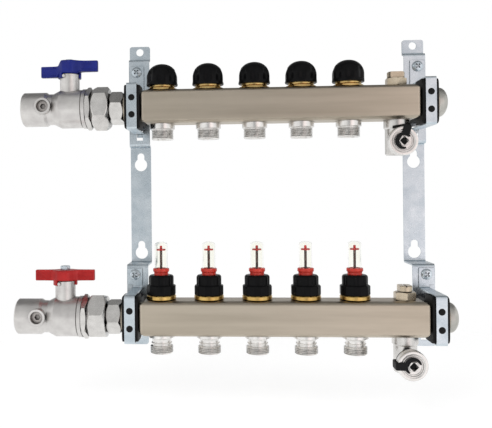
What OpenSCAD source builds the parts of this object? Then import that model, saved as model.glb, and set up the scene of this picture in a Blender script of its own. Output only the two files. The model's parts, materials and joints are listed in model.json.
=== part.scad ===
// Underfloor heating manifold: a return bar over a supply bar on two wall brackets,
// with five heating circuits, flow meters, control caps, vents, drains and ball valves.
// +X runs along the bars to the right, -Y points to the viewer, +Z is up.
// The origin is the centre of the four key holes, on the wall plane.

/* [Layout] */
// Distance between neighbouring circuits
pitch = 55; // [50:1:60]
// Height of the return bar above the centre of the key holes
return_z = 122.5; // [116:0.5:130]
// Vertical distance between the two bars
bar_spacing = 245; // [236:1:256]
// Distance of the return bar's axis from the wall
return_depth = 59; // [56:1:66]
// Distance of the supply bar's axis from the wall
supply_depth = 91; // [86:1:110]

/* [Bars] */
// Height of the square bar
bar_h = 40; // [38:0.5:44]
// Depth of the square bar, front to back
bar_w = 40; // [38:0.5:44]
// Radius of the bar's long edges
bar_edge_r = 6; // [4:0.5:7]
// Radius of the bar's end edges
bar_end_r = 5; // [3:0.5:7]
// Wall of the bar
bar_wall = 1.5; // [1.2:0.1:2]
// Length of bar past its outermost ports
bar_margin = 24.5; // [22:0.5:30]
// Diameter of the round necks
neck_d = 34; // [32:0.5:36]
// Wall of the round necks
neck_wall = 2; // [1.5:0.1:3]
// Length of each neck past the bar
neck_len = 21; // [20:0.5:26]

/* [Brackets] */
// Width of the bracket strip
strip_w = 26; // [24:0.5:30]
// Thickness of the bracket strip
strip_t = 2; // [1.5:0.1:2.5]
// Distance from a bar's axis back to the front of its bracket plate
plate_back = 48; // [44:0.5:50]
// Bend radius of the strip, at its middle
strip_bend_r = 3; // [2.5:0.1:4]
// Plate length above a bar's axis, return bar
return_plate_up = 66.5; // [64:0.5:74]
// Plate length below a bar's axis, return bar
return_plate_down = 43; // [39:0.5:46]
// Plate length above a bar's axis, supply bar
supply_plate_up = 54; // [53:0.5:58]
// Rim of the bracket plate under the lower clamp's slot
foot_rim = 7; // [2:0.5:9]
// Length of the top tab
tab_len = 19; // [18:0.5:24]
// Diameter of the hole in the top tab
tab_hole_d = 9.5; // [8:0.5:11]
// Distance between the upper and the lower key hole
keyhole_span = 112.5; // [106:0.5:116]
// Diameter of a key hole's round end
keyhole_d = 16; // [14:0.5:18]
// Width of a key hole's slot
keyhole_slot_w = 9; // [7:0.5:10]
// Rise of the slot's end above the round end's centre
keyhole_rise = 10.5; // [9:0.5:11]

/* [Clamps] */
// Width of the clamp strap
strap_w = 12; // [10:0.5:14]
// Thickness of the clamp strap
strap_t = 1.5; // [1.2:0.1:2]
// Bend radius of the strap, at its middle
strap_bend_r = 4; // [3:0.5:6]
// Height of the strap's front
strap_h = 55; // [52:0.5:58]
// Distance from the bar's axis to the strap's front face
strap_front = 24; // [22:0.5:26]
// Width of the strap's screw tab
strap_tab_w = 18; // [16:0.5:20]
// Length of the screw tab past its screw
strap_tab_over = 7.5; // [7:0.5:10]
// Height of the clamp screws above the return bar's axis
return_screw_rise = 51; // [48:0.5:53]
// Height of the clamp screws above the supply bar's axis
supply_screw_rise = 43; // [42:0.5:44]
// Diameter of the holes in the strap's front
strap_hole_d = 5.5; // [4:0.5:6]
// Distance of those holes from the bar's axis
strap_hole_off = 10; // [8:0.5:14]
// Width of the rubber cushion along the bar
cushion_w = 18; // [16:0.5:20]
// Height of the cushion's foot on the bracket
cushion_foot_h = 40; // [36:0.5:42]
// Diameter of the clamp screw
screw_d = 5; // [4:0.5:6]
// Diameter of the clamp screw's head
screw_head_d = 12.5; // [10:0.5:13.5]

/* [Outlets] */
// Outside diameter of the outlet thread
outlet_d = 26.4; // [25:0.1:28]
// Bore of an outlet
outlet_bore_d = 15; // [13:0.5:16]
// Diameter of the outlet collar
collar_d = 29.6; // [29:0.1:31]
// Collar height on the return bar
return_collar_h = 7; // [5:0.5:8]
// Thread length on the return bar
return_thread_len = 12; // [10:0.5:14]
// Collar height on the supply bar
supply_collar_h = 4; // [3:0.5:5]
// Length of the slim neck on the supply bar
supply_neck_len = 8.5; // [7:0.5:10]
// Thread length on the supply bar
supply_thread_len = 9; // [8:0.5:11]
// Diameter of the port holes in the bars
port_hole_d = 22; // [20:0.5:23]

/* [Control caps] */
// Diameter of the cap
cap_d = 37.5; // [36:0.5:40]
// Height of the cap
cap_h = 26.5; // [25:0.5:28]
// Height of the cap's upright side
cap_side_h = 9; // [7:0.5:11]
// Diameter of the cap's thread
cap_thread_d = 30; // [28:0.5:31]
// Depth of the cap's inside
cap_inside_h = 16.5; // [16:0.5:17.5]
// Height of the insert's hexagon
insert_hex_h = 2.5; // [2:0.5:5]
// Hexagon of the insert, across flats
insert_hex_af = 32; // [31.5:0.5:34]
// Length of the insert's thread
insert_thread_len = 12; // [10:0.5:12.5]
// Way of the cap and the pin from open to closed
cap_travel = 2.5; // [2:0.5:3]
// Diameter of the valve pin
pin_d = 4; // [3:0.5:5]
// Diameter of the pin's sealing disc
seal_d = 18; // [17:0.5:19]

/* [Flow meters] */
// Diameter of the brass ring
meter_ring_d = 34; // [33:0.5:36]
// Height of the brass ring
meter_ring_h = 5.5; // [4:0.5:7]
// Diameter of the knob's lower part, over its corners
knob_low_d = 32; // [30:0.5:33.5]
// Diameter of the knob's upper part
knob_top_d = 28.4; // [26:0.2:29]
// Height of the knob
knob_h = 22.5; // [21:0.5:25]
// Height of the knob's lower part
knob_low_h = 11; // [9:0.5:12]
// Diameter of the brass stem inside the knob
meter_stem_d = 20; // [19:0.5:22]
// Outside diameter of the sight tube
glass_d = 14.6; // [13:0.2:15]
// Wall of the sight tube
glass_wall = 1.3; // [1:0.1:1.6]
// Length of the sight tube above the knob
glass_len = 38; // [34:0.5:42]
// Diameter of the lock ring's flange
lock_flange_d = 18.6; // [18:0.2:22]
// Diameter of the lock ring's sleeve
lock_sleeve_d = 16.4; // [16:0.2:17.4]
// Height of the lock ring's flange
lock_flange_h = 4; // [3:0.5:5]
// Height of the sleeve that shows under the flange
lock_neck_h = 3.5; // [2:0.5:5]
// Diameter of the indicator disc
disc_d = 10.4; // [8:0.2:11]
// Height of the indicator disc above the knob, at zero flow
disc_rise = 28; // [26:0.5:29]
// Diameter of the indicator stem
stem_d = 3; // [2:0.2:3.2]
// Way of the indicator from zero to full flow
flow_travel = 18; // [14:0.5:19]

/* [Vents and drains] */
// Hexagon of the vent, across flats
vent_af = 22; // [20:0.5:24]
// Height of the vent's hexagon
vent_hex_h = 9; // [7:0.5:11]
// Width of the vent's knob, over its wings
vent_knob_d = 20; // [18:0.5:22]
// Thickness of the vent's knob, over its flats
vent_knob_w = 13.5; // [10:0.5:15]
// Height of the vent's knob
vent_knob_h = 7; // [5:0.5:9]
// Diameter of the drain's collar
drain_collar_d = 29; // [28:0.5:31]
// Height of the drain's collar
drain_collar_h = 9; // [7:0.5:11]
// Diameter of the drain's body
drain_d = 26; // [24:0.5:27]
// Length of the drain below the bar
drain_len = 41; // [41:0.5:46]
// Distance from the bar's underside down to the drain's outlet
drain_drop = 26.5; // [26.5:0.5:29]
// Distance from the drain's axis to the cap's back
drain_reach = 24; // [23:0.5:28]
// Diameter of the drain's cap
drain_cap_d = 33; // [31:0.5:35]
// Depth of the drain's cap
drain_cap_h = 11.5; // [10:0.5:14]
// Thickness of the keeper strap
keeper_t = 2; // [1.6:0.1:2.2]
// Width of the keeper strap
keeper_w = 7; // [5:0.5:8]
// Height of the end plug's dome
plug_dome_h = 9.5; // [7:0.5:12]

/* [Ball valves] */
// Diameter of the valve's body
valve_d = 46; // [44:0.5:48]
// Diameter of the valve's female end
female_d = 41; // [39:0.5:43]
// Radius of the female thread's bore
female_r = 15.15; // [14:0.05:16]
// Depth of the female thread
female_depth = 20; // [16:0.5:21]
// Length of the female end
female_len = 28; // [26:0.5:32]
// Length of the waist between body and female end
waist_len = 12; // [10:0.5:14]
// Diameter of the waist
waist_d = 37; // [36:0.5:39]
// Length of the body, from its collar to its waist
valve_len = 37.5; // [36:0.5:40]
// Diameter of the ball
ball_d = 30; // [29:0.5:31]
// Bore of the valve, its ball and its tailpiece
water_d = 21; // [18:0.5:22]
// Diameter of the bonnet
bonnet_d = 23.5; // [22:0.5:25]
// Height of the bonnet's top above the valve's axis
bonnet_h = 41.5; // [39:0.5:46]
// Diameter of the stem in the bonnet
spindle_d = 10; // [8:0.5:11]
// Length of the handle
handle_len = 70; // [60:1:80]
// Height of the return handle's wings
return_wing_h = 13.5; // [10:0.5:14]
// Height of the supply handle's wings and hub
supply_wing_h = 12.5; // [10:0.5:14]
// Thickness of the handle's wings
wing_t = 6; // [4:0.5:8]
// Height of the return handle's hub
return_hub_h = 16.5; // [15:0.5:18]
// Step from the left wing up to the right wing, return handle
return_wing_step = 6.5; // [0:0.5:6.5]
// Hexagon of the end connector, across flats
connector_af = 45; // [44:0.5:48]
// Length of the connector's hexagon
connector_hex_len = 6.5; // [5:0.5:9]
// Diameter of the connector's outside thread
union_d = 41.5; // [40:0.1:42]
// Hexagon of the union nut, across flats
union_af = 46.5; // [46:0.5:50]
// Length of the union nut
union_len = 20; // [18:0.5:22]
// Hexagon of the tailpiece, across flats
tail_af = 34.5; // [34:0.5:38]
// Length of the tailpiece's hexagon
tail_hex_len = 17; // [15:0.5:20]
// Diameter of the tailpiece's barrel in the union nut
tail_barrel_d = 30; // [28:0.5:32]
// Diameter of the test port's boss
port_boss_d = 19.4; // [18.4:0.2:20]
// Diameter of the test port
port_d = 14.4; // [12:0.2:15]

/* [Clearances] */
// Radial gap of a turning shaft
run_gap = 0.05; // [0.03:0.01:0.1]
// Gap between pieces that are assembled without moving
seat_gap = 0.1; // [0.05:0.01:0.15]
// Gap between pieces that move past each other
move_gap = 0.4; // [0.3:0.05:0.5]

/* [Hidden] */
$fn = 72;
circuits = 5;
RETURN = 0;
SUPPLY = 1;
bar_z = [return_z, return_z - bar_spacing];
bar_depth = [return_depth, supply_depth];
plate_depth = [return_depth - plate_back, supply_depth - plate_back];
port_span = circuits * pitch;
bar_len = port_span + 2 * bar_margin;
service_x = port_span / 2;
bar_top = bar_h / 2;
neck_end = bar_len / 2 + neck_len;
neck_bore_d = neck_d - 2 * neck_wall;
clamp_gap = 0.5;
clamp_x = bar_len / 2 + clamp_gap + cushion_w / 2;
vent_hole_d = 13;
drain_hole_d = 20;
spigot_len = 6;
nipple_spigot_len = 3.5;

// Clamp profile heights, from the bar's axis
strap_mid_z = strap_h / 2 - strap_t / 2;
strap_mid_y = strap_front - strap_t / 2;
screw_rise = [return_screw_rise, supply_screw_rise];
tongue_w = strap_w * 0.6;
slot_w = tongue_w + 2 * move_gap;
slot_h = 12;
slot_below = 6.5;
slot_foot = strap_mid_z + slot_h - slot_below / 2;
hook_len = 5;
strap_tab_x = (strap_tab_w - strap_w) / 2;

// Control valve heights, from the bar's axis
cap_gap = cap_travel + move_gap;
insert_top = bar_top + insert_hex_h;
cap_base = insert_top + cap_gap;
cap_ceiling = cap_base + cap_inside_h;
seal_h = 4;
seat_rise = 9.5;
seat_z = -bar_top + seat_rise;
seal_z = seat_z + cap_travel + move_gap;

// Flow meter heights, from the bar's axis
knob_base = bar_top + meter_ring_h + move_gap;
knob_top = knob_base + knob_h;
knob_lid = 2.2;
stem_top = knob_top - knob_lid - move_gap;
glass_top = knob_top + glass_len;
glass_bore_d = glass_d - 2 * glass_wall;
lock_base = stem_top + move_gap;
lock_flange_z = knob_top + lock_neck_h;
disc_z = knob_top + disc_rise;
disc_h = 1.6;
nub_h = 4;
flow_plate_d = 12;
flow_room = 6.5;
flow_plate_z = -bar_top + nipple_spigot_len + flow_room + flow_travel;

// Vent and drain depths and heights, from the bar's axis
vent_angle = [0, 90];
vent_stem_d = 5;
vent_stem_len = 8;
outlet_z = -bar_top - drain_drop;
spout_d = 22;
spout_thread_d = 19;
drain_bore_d = 11;
drain_face = drain_reach + move_gap + drain_cap_h;
boss_af = 10;
boss_corner_d = boss_af / cos(30);
boss_h = 3;
cap_floor = 4;
keeper_angle = [75, 180];
keeper_hole_d = boss_corner_d + 2 * move_gap;
keeper_eye_wall = 3;

// Valve lengths, leftwards from the end of the neck
tail_spigot_len = 12;
nut_start = tail_hex_len + move_gap;
nut_wall = 3.5;
flange_start = nut_start + nut_wall + move_gap;
flange_len = 4;
thread_play = 1.8;
gasket_start = flange_start + flange_len;
gasket_t = 2;
connector_start = gasket_start + gasket_t;
nut_end = nut_start + union_len;
nut_room = 1.5;
connector_hex_start = nut_end + nut_room;
body_start = connector_hex_start + connector_hex_len;
collar_len = 4;
ball_inset = 21.4;
ball_u = body_start + ball_inset;
ball_r = ball_d / 2;
seat_len = 4.5;
seat_rim = 2.5;
insert_len = ball_inset - ball_r + seat_len + seat_rim;
seat_over = 0.6;
seat_recess_r = ball_r + seat_over;
cavity_step = 2.4;
cavity_r = seat_recess_r + cavity_step;
valve_end = body_start + valve_len + waist_len + female_len;
boss_inset = 0.5;
boss_u = valve_end - female_len + boss_inset;
boss_rise = 2;
boss_out = 3;
boss_reach = female_d / 2 + boss_out;
bonnet_r = bonnet_d / 2;
lug_r = 1.8;
lug_angle = -110;
skirt_h = 5;
skirt_wall = 1.8;
hub_r = bonnet_r + move_gap + skirt_wall;
hub_base = bonnet_h + move_gap;
lug_play = 2.5;
lug_half = asin(lug_r / bonnet_r) + lug_play;
hub_h = [return_hub_h, supply_wing_h];
wing_h = [return_wing_h, supply_wing_h];
wing_step = [return_wing_step, 0];
nut_h = 4.5;
nut_sunk = [3, 0];
flats_share = 0.7;
square_w = spindle_d * flats_share;
handle_nut_wall = 1.5;
handle_nut_af = square_w + 2 * handle_nut_wall;
union_angle = [28, 2];
tail_angle = -12;

LINES = ["return", "supply"];
function numbered(name) = [for (i = [1 : circuits]) str(name, "_", i)];
function on_lines(name) = [for (line = LINES) str(line, "_", name)];

steel = [0.66, 0.62, 0.56];
zinc = [0.76, 0.81, 0.85];
nickel = [0.72, 0.71, 0.69];
brass = [0.80, 0.62, 0.25];
rubber = [0.05, 0.05, 0.05];
black = [0.08, 0.08, 0.09];
red = [0.75, 0.10, 0.10];
clear = [0.92, 0.94, 0.93, 0.35];
handle_colours = [[0.07, 0.12, 0.48], [0.68, 0.13, 0.14]];

// Places

function port_x(i) = (i - 1 - circuits / 2) * pitch;

module at_bar(k) translate([0, -bar_depth[k], bar_z[k]]) children();
module at_port(k, i) at_bar(k) translate([port_x(i), 0, 0]) children();
module at_service(k) at_bar(k) translate([service_x, 0, 0]) children();
module at_ports(k) for (i = [1 : circuits]) at_port(k, i) children();
module on_both_bars() for (k = [RETURN, SUPPLY]) at_bar(k) children();

// A bar's left end, with the turning axis along -X and zero at the neck's end
module at_valve(k) at_bar(k) translate([-neck_end, 0, 0]) rotate([0, -90, 0]) children();

// The ball's centre, upright
module at_ball(k) at_bar(k) translate([-neck_end - ball_u, 0, 0]) children();

// The drain's outlet, with the turning axis towards the viewer
module at_outlet(k) at_service(k) translate([0, 0, outlet_z]) rotate([90, 0, 0]) children();

// Both ends of a bar, mirrored for the left end
module at_clamps(k) {
    for (side = [0, 1])
        at_bar(k) mirror([side, 0, 0]) translate([clamp_x, 0, 0]) children();
}

// Shapes

module rounded_rect(w, h, r) {
    square([w - 2 * r, h], center = true);
    square([w, h - 2 * r], center = true);
    for (x = [-1, 1], y = [-1, 1])
        translate([x * (w / 2 - r), y * (h / 2 - r)]) circle(r);
}

// A solid of revolution from outline points [radius, height], with a bore
module turned(outline, bore = 0) {
    last = len(outline) - 1;
    rotate_extrude()
        polygon(concat(outline, [[bore, outline[last][1]], [bore, outline[0][1]]]));
}

module tube(d, bore, h) turned([[d / 2, 0], [d / 2, h]], bore / 2);

// A hexagon prism with its corners turned down at both ends
module hex_bar(af, h) {
    corner_r = af / 2 / cos(30);
    drop = min((corner_r - af / 2) * 0.6, h / 4);
    intersection() {
        cylinder(r = corner_r, h = h, $fn = 6);
        turned([[af / 2, 0], [corner_r, drop], [corner_r, h - drop], [af / 2, h]]);
    }
}

module cylinder_between(r, z0, z1) translate([0, 0, z0]) cylinder(r = r, h = z1 - z0);

// Unit vector from point a to point b
function towards(a, b) = (b - a) / norm(b - a);

// The points of a path whose corners are rounded to the radius r
function rounded_path(p, r, steps = 6) = [
    for (i = [0 : len(p) - 1])
        if (i == 0 || i == len(p) - 1) p[i]
        else
            let (
                a = towards(p[i], p[i - 1]),
                b = towards(p[i], p[i + 1]),
                half = acos(a * b) / 2,
                middle = p[i] + towards([0, 0], a + b) * r / sin(half),
                from = p[i] + a * r / tan(half) - middle,
                to = p[i] + b * r / tan(half) - middle
            )
            for (s = [0 : steps])
                middle + towards([0, 0], from * (1 - s / steps) + to * s / steps) * r
];

// The path moved sideways by d
function beside(p, d) = [
    for (i = [0 : len(p) - 1])
        let (
            a = towards(p[max(i - 1, 0)], p[max(i, 1)]),
            b = towards(p[min(i, len(p) - 2)], p[min(i + 1, len(p) - 1)]),
            n = towards([0, 0], [-a[1] - b[1], a[0] + b[0]])
        )
        p[i] + n * d / (n * [-a[1], a[0]])
];

// A bent strip: a path of [depth, height] with a thickness, w wide along X
module bent_strip(path, r, t, w) {
    p = rounded_path(path, r);
    back = beside(p, -t / 2);
    last = len(p) - 1;
    rotate([90, 0, -90])
        linear_extrude(w, center = true)
            polygon(concat(beside(p, t / 2), [for (i = [last : -1 : 0]) back[i]]));
}

// A round pin or drill along Y, from depth y0 to depth y1 in front of the origin
module along_y(d, y0, y1) translate([0, -y0, 0]) rotate([90, 0, 0]) cylinder(d = d, h = y1 - y0);

// Bars

module bar_outside() {
    intersection() {
        rotate([90, 0, 90]) linear_extrude(bar_len, center = true) rounded_rect(bar_w, bar_h, bar_edge_r);
        rotate([90, 0, 0]) linear_extrude(bar_w, center = true) rounded_rect(bar_len, bar_h, bar_end_r);
        linear_extrude(bar_h, center = true) rounded_rect(bar_len, bar_w, bar_end_r);
    }
    rotate([0, 90, 0]) cylinder(d = neck_d, h = 2 * neck_end, center = true);
}

module bar_inside() {
    rotate([90, 0, 90])
        linear_extrude(bar_len - 2 * (bar_end_r + bar_wall), center = true)
            rounded_rect(bar_w - 2 * bar_wall, bar_h - 2 * bar_wall, bar_edge_r - bar_wall);
    rotate([0, 90, 0]) cylinder(d = neck_bore_d, h = 2 * neck_end + 1, center = true);
}

module bar(k) {
    color(steel) at_bar(k) difference() {
        bar_outside();
        bar_inside();
        for (i = [1 : circuits])
            translate([port_x(i), 0, 0]) cylinder(d = port_hole_d, h = bar_h + 1, center = true);
        translate([service_x, 0, 0]) cylinder(d = vent_hole_d, h = bar_h);
        translate([service_x, 0, -bar_h]) cylinder(d = drain_hole_d, h = bar_h);
    }
}

// A domed plug with its spigot in the right neck
module end_plugs() {
    rim_r = neck_d / 2;
    rim_h = 3;
    color(nickel) on_both_bars()
        translate([neck_end, 0, 0]) rotate([0, 90, 0]) turned(concat(
            [[neck_bore_d / 2 - seat_gap, -tail_spigot_len], [neck_bore_d / 2 - seat_gap, 0], [rim_r, 0]],
            [for (a = [0 : 10 : 90]) [rim_r * cos(a), rim_h + plug_dome_h * sin(a)]]));
}

// Brackets and clamps

module keyhole() {
    along_y(keyhole_d, -strip_t, 2 * strip_t);
    translate([0, 0, keyhole_rise]) along_y(keyhole_slot_w, -strip_t, 2 * strip_t);
    translate([-keyhole_slot_w / 2, -2 * strip_t, 0]) cube([keyhole_slot_w, 3 * strip_t, keyhole_rise]);
}

module bracket(side) {
    half = strip_t / 2;
    bend_up = return_z + return_plate_up;
    bend_down = return_z - return_plate_down;
    bend_low = bar_z[SUPPLY] + supply_plate_up;
    foot = bar_z[SUPPLY] - slot_foot - foot_rim;
    top = bend_up + tab_len;
    route = [
        [half, top], [half, bend_up],
        [plate_depth[RETURN] - half, bend_up], [plate_depth[RETURN] - half, bend_down],
        [half, bend_down], [half, bend_low],
        [plate_depth[SUPPLY] - half, bend_low], [plate_depth[SUPPLY] - half, foot]];
    corner_r = 3;
    tab_hole_z = bend_up + tab_len * 0.62;
    color(zinc) mirror([side, 0, 0]) translate([clamp_x, 0, 0]) difference() {
        intersection() {
            bent_strip(route, strip_bend_r, strip_t, strip_w);
            translate([0, 0, (top + foot) / 2]) rotate([90, 0, 0])
                linear_extrude(2 * supply_depth) rounded_rect(strip_w, top - foot, corner_r);
        }
        translate([0, 0, tab_hole_z]) along_y(tab_hole_d, -strip_t, 2 * strip_t);
        for (z = [-1, 1]) translate([0, 0, z * keyhole_span / 2]) keyhole();
        for (k = [RETURN, SUPPLY]) translate([0, -plate_depth[k], bar_z[k]]) {
            translate([strap_tab_x, 0, screw_rise[k]]) along_y(screw_d + 2 * seat_gap, -2 * strip_t, strip_t);
            translate([0, strip_t / 2, slot_h / 2 - slot_foot])
                cube([slot_w, 3 * strip_t, slot_h], center = true);
        }
    }
}

// A strap round the front of a cushion, screwed to the bracket above and hooked into it below
module clamp_straps() {
    plate = -plate_back;
    hook = plate - strip_t - move_gap - strap_t / 2;
    tab = plate + strap_t / 2;
    tab_end = screw_rise + [strap_tab_over, strap_tab_over];
    tab_start = strap_mid_z + strap_bend_r;
    front = [
        [hook, -strap_mid_z - hook_len], [hook, -strap_mid_z],
        [strap_mid_y, -strap_mid_z], [strap_mid_y, strap_mid_z],
        [tab, strap_mid_z]];
    color(zinc) for (k = [RETURN, SUPPLY]) at_clamps(k) difference() {
        union() {
            bent_strip(concat(front, [[tab, tab_end[k]]]), strap_bend_r * 0.6, strap_t, strap_w);
            translate([strap_tab_x - strap_tab_w / 2, plate_back - strap_t, tab_start])
                cube([strap_tab_w, strap_t, tab_end[k] - tab_start]);
        }
        for (z = [-1, 1])
            translate([0, 0, z * strap_hole_off])
                along_y(strap_hole_d, strap_front - 2 * strap_t, strap_front + strap_t);
        translate([strap_tab_x, 0, screw_rise[k]])
            along_y(screw_d + 2 * seat_gap, plate - strap_t, plate + 2 * strap_t);
        for (x = [-1, 1])
            translate([x * (tongue_w + strap_w) / 2, plate_back, -strap_mid_z])
                cube([strap_w, 4 * strip_t, 3 * hook_len], center = true);
    }
}

// A rubber block round the neck, with a foot on the bracket's plate
module clamp_cushions() {
    inside_h = strap_h - 2 * strap_t;
    front = strap_front - strap_t;
    back = neck_d / 4;
    color(rubber) for (k = [RETURN, SUPPLY]) at_clamps(k) difference() {
        union() {
            translate([0, (back - front) / 2, 0]) rotate([90, 0, 90])
                linear_extrude(cushion_w, center = true)
                    rounded_rect(front + back, inside_h, strap_bend_r);
            translate([-cushion_w / 2, 0, -cushion_foot_h / 2]) cube([cushion_w, plate_back, cushion_foot_h]);
        }
        rotate([0, 90, 0]) cylinder(d = neck_d + 2 * seat_gap, h = 2 * cushion_w, center = true);
    }
}

module clamp_screws() {
    seat = strap_t - plate_back;
    head_h = 3.2;
    shank_len = 8;
    cross_w = 1.8;
    cross_l = screw_head_d * 0.55;
    color(zinc) for (k = [RETURN, SUPPLY]) at_clamps(k)
        translate([strap_tab_x, -seat, screw_rise[k]]) rotate([90, 0, 0]) difference() {
            turned([
                [screw_d / 2, -shank_len], [screw_d / 2, 0],
                [screw_head_d / 2, 0], [screw_head_d / 2, head_h * 0.4],
                [screw_head_d * 0.38, head_h * 0.85], [screw_head_d * 0.2, head_h]]);
            for (a = [0, 90]) rotate([0, 0, a + 45])
                translate([0, 0, head_h]) cube([cross_l, cross_w, head_h], center = true);
        }
}

// Outlets

// A pipe nipple with a conical mouth, hanging from the bar's underside
module nipple(outline) {
    len_all = outline[len(outline) - 1][1];
    mouth_wall = 3;
    mouth_r = outlet_d / 2 - mouth_wall;
    mouth_h = 7;
    spigot_r = port_hole_d / 2 - seat_gap;
    shoulder = [[spigot_r, -nipple_spigot_len], [spigot_r, 0], [collar_d / 2, 0]];
    translate([0, 0, -bar_top]) mirror([0, 0, 1]) difference() {
        turned(concat(shoulder, outline), outlet_bore_d / 2);
        translate([0, 0, len_all - mouth_h])
            turned([[outlet_bore_d / 2 - 1, -1], [mouth_r, mouth_h], [mouth_r, mouth_h + 1]]);
    }
}

module return_nipples() {
    r = outlet_d / 2;
    c = collar_d / 2;
    end = return_collar_h + return_thread_len;
    bevel = 1;
    outline = [[c, return_collar_h - bevel], [r, return_collar_h], [r, end - bevel], [r - bevel, end]];
    tower_wall = 2.5;
    color(nickel) at_ports(RETURN) union() {
        nipple(outline);
        translate([0, 0, -bar_top]) tube(outlet_bore_d + 2 * tower_wall, outlet_bore_d, seat_rise);
    }
}

module supply_nipples() {
    r = outlet_d / 2;
    c = collar_d / 2;
    thread_h = 2.2;
    neck_r = r - thread_h;
    bead_h = 0.9;
    bead_r = neck_r + bead_h;
    bead_back = 3;
    neck_end_z = supply_collar_h + supply_neck_len;
    bead_z = neck_end_z - bead_back;
    end = neck_end_z + supply_thread_len;
    bevel = 1;
    outline = [
        [c, supply_collar_h - bevel], [neck_r, supply_collar_h + bevel],
        [neck_r, bead_z - bevel], [bead_r, bead_z - bevel / 2], [bead_r, bead_z + bevel / 2],
        [neck_r, bead_z + bevel], [neck_r, neck_end_z - bevel / 2],
        [r, neck_end_z + bevel / 2], [r, end - bevel], [r - bevel, end]];
    color(nickel) at_ports(SUPPLY) nipple(outline);
}

// Control valves on the return bar

module valve_inserts() {
    spigot_r = port_hole_d / 2 - seat_gap;
    guide_r = pin_d / 2 + run_gap;
    chamber_h = 5;
    chamber_wall = 2;
    bevel = 1.2;
    r = cap_thread_d / 2;
    top = insert_top + insert_thread_len;
    color(brass) at_ports(RETURN) difference() {
        union() {
            translate([0, 0, bar_top - spigot_len]) cylinder(r = spigot_r, h = spigot_len);
            translate([0, 0, bar_top]) hex_bar(insert_hex_af, insert_hex_h);
            turned([[r - bevel, insert_top], [r, insert_top + bevel], [r, top - bevel], [r - bevel, top]]);
        }
        translate([0, 0, bar_top - spigot_len - 1]) cylinder(r = spigot_r - chamber_wall, h = chamber_h);
        cylinder(r = guide_r, h = top + 1);
    }
}

// A domed hand cap with grip hollows, threaded inside
module control_cap(i) {
    r = cap_d / 2;
    dome_h = cap_h - cap_side_h;
    grips = 8;
    grip_r = 14;
    grip_bite = 1.3;
    color(black) at_port(RETURN, i) difference() {
        turned(concat(
            [[r - 1, cap_base], [r, cap_base + 1]],
            [for (a = [0 : 9 : 90]) [r * cos(a), cap_base + cap_side_h + dome_h * sin(a)]]));
        translate([0, 0, cap_base - 1]) cylinder(d = cap_thread_d + 2 * move_gap, h = cap_inside_h + 1);
        for (n = [1 : grips])
            rotate([0, 0, n * 360 / grips])
                translate([r + grip_r - grip_bite, 0, cap_base + cap_side_h * 0.3])
                    cylinder(r = grip_r, h = cap_h);
    }
}

// A pin from under the cap down to the sealing disc over the nipple's seat
module valve_pin(i) {
    head_r = pin_d;
    head_h = 2;
    top = cap_ceiling - move_gap / 2;
    r = pin_d / 2;
    color(zinc) at_port(RETURN, i) turned([
        [seal_d / 2 - 1, seal_z], [seal_d / 2, seal_z + 1], [seal_d / 2, seal_z + seal_h],
        [r, seal_z + seal_h], [r, top - head_h], [head_r, top - head_h], [head_r, top]]);
}

// Flow meters on the supply bar

module meter_bases() {
    spigot_r = port_hole_d / 2 - seat_gap;
    r = meter_ring_d / 2;
    ring_top = bar_top + meter_ring_h;
    chamber_wall = 2;
    bevel = 1;
    color(brass) at_ports(SUPPLY) difference() {
        turned([
            [spigot_r, bar_top - spigot_len], [spigot_r, bar_top], [r - bevel, bar_top],
            [r, bar_top + bevel], [r, ring_top - bevel], [r - bevel, ring_top],
            [meter_stem_d / 2, ring_top], [meter_stem_d / 2, stem_top]]);
        cylinder(d = stem_d + 2 * run_gap, h = knob_top);
        translate([0, 0, ring_top]) cylinder(d = glass_bore_d, h = glass_len);
        translate([0, 0, bar_top - spigot_len - 1]) cylinder(r = spigot_r - chamber_wall, h = spigot_len);
    }
}

// A setting knob: a twelve-sided skirt under a fluted crown
module meter_knob(i) {
    crown_z = knob_base + knob_low_h;
    flutes = 12;
    flute_r = 2;
    bevel = 1.5;
    r = knob_top_d / 2;
    color(black) at_port(SUPPLY, i) difference() {
        union() {
            translate([0, 0, knob_base]) cylinder(d = knob_low_d, h = knob_low_h, $fn = 12);
            turned([[r, knob_base], [r, knob_top - bevel], [r - bevel, knob_top]]);
        }
        translate([0, 0, knob_base - 1]) cylinder(d = meter_stem_d + 2 * run_gap, h = knob_h - knob_lid + 1);
        cylinder(d = lock_sleeve_d + 2 * move_gap, h = knob_top + 1);
        for (n = [1 : flutes])
            rotate([0, 0, (n + 0.5) * 360 / flutes])
                translate([r + flute_r * 0.6, 0, crown_z]) cylinder(r = flute_r, h = knob_h, $fn = 24);
    }
}

module lock_ring(i) {
    f = lock_flange_d / 2;
    s = lock_sleeve_d / 2;
    bevel = 0.6;
    top = lock_flange_z + lock_flange_h;
    color(red) at_port(SUPPLY, i) turned([
        [s, lock_base], [s, lock_flange_z - bevel], [f - bevel, lock_flange_z], [f, lock_flange_z + bevel],
        [f, top - bevel], [f - bevel, top]], glass_d / 2 + run_gap);
}

// A clear tube with a domed end, standing on the meter's stem
module sight_tubes() {
    r = glass_d / 2;
    b = glass_bore_d / 2;
    dome_h = 3;
    shoulder = glass_top - dome_h;
    arc = [0 : 15 : 90];
    color(clear) at_ports(SUPPLY) rotate_extrude() polygon(concat(
        [[b, stem_top], [r, stem_top]],
        [for (a = arc) [r * cos(a), shoulder + dome_h * sin(a)]],
        [for (a = arc) [b * sin(a), shoulder - glass_wall + dome_h * cos(a)]]));
}

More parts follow.
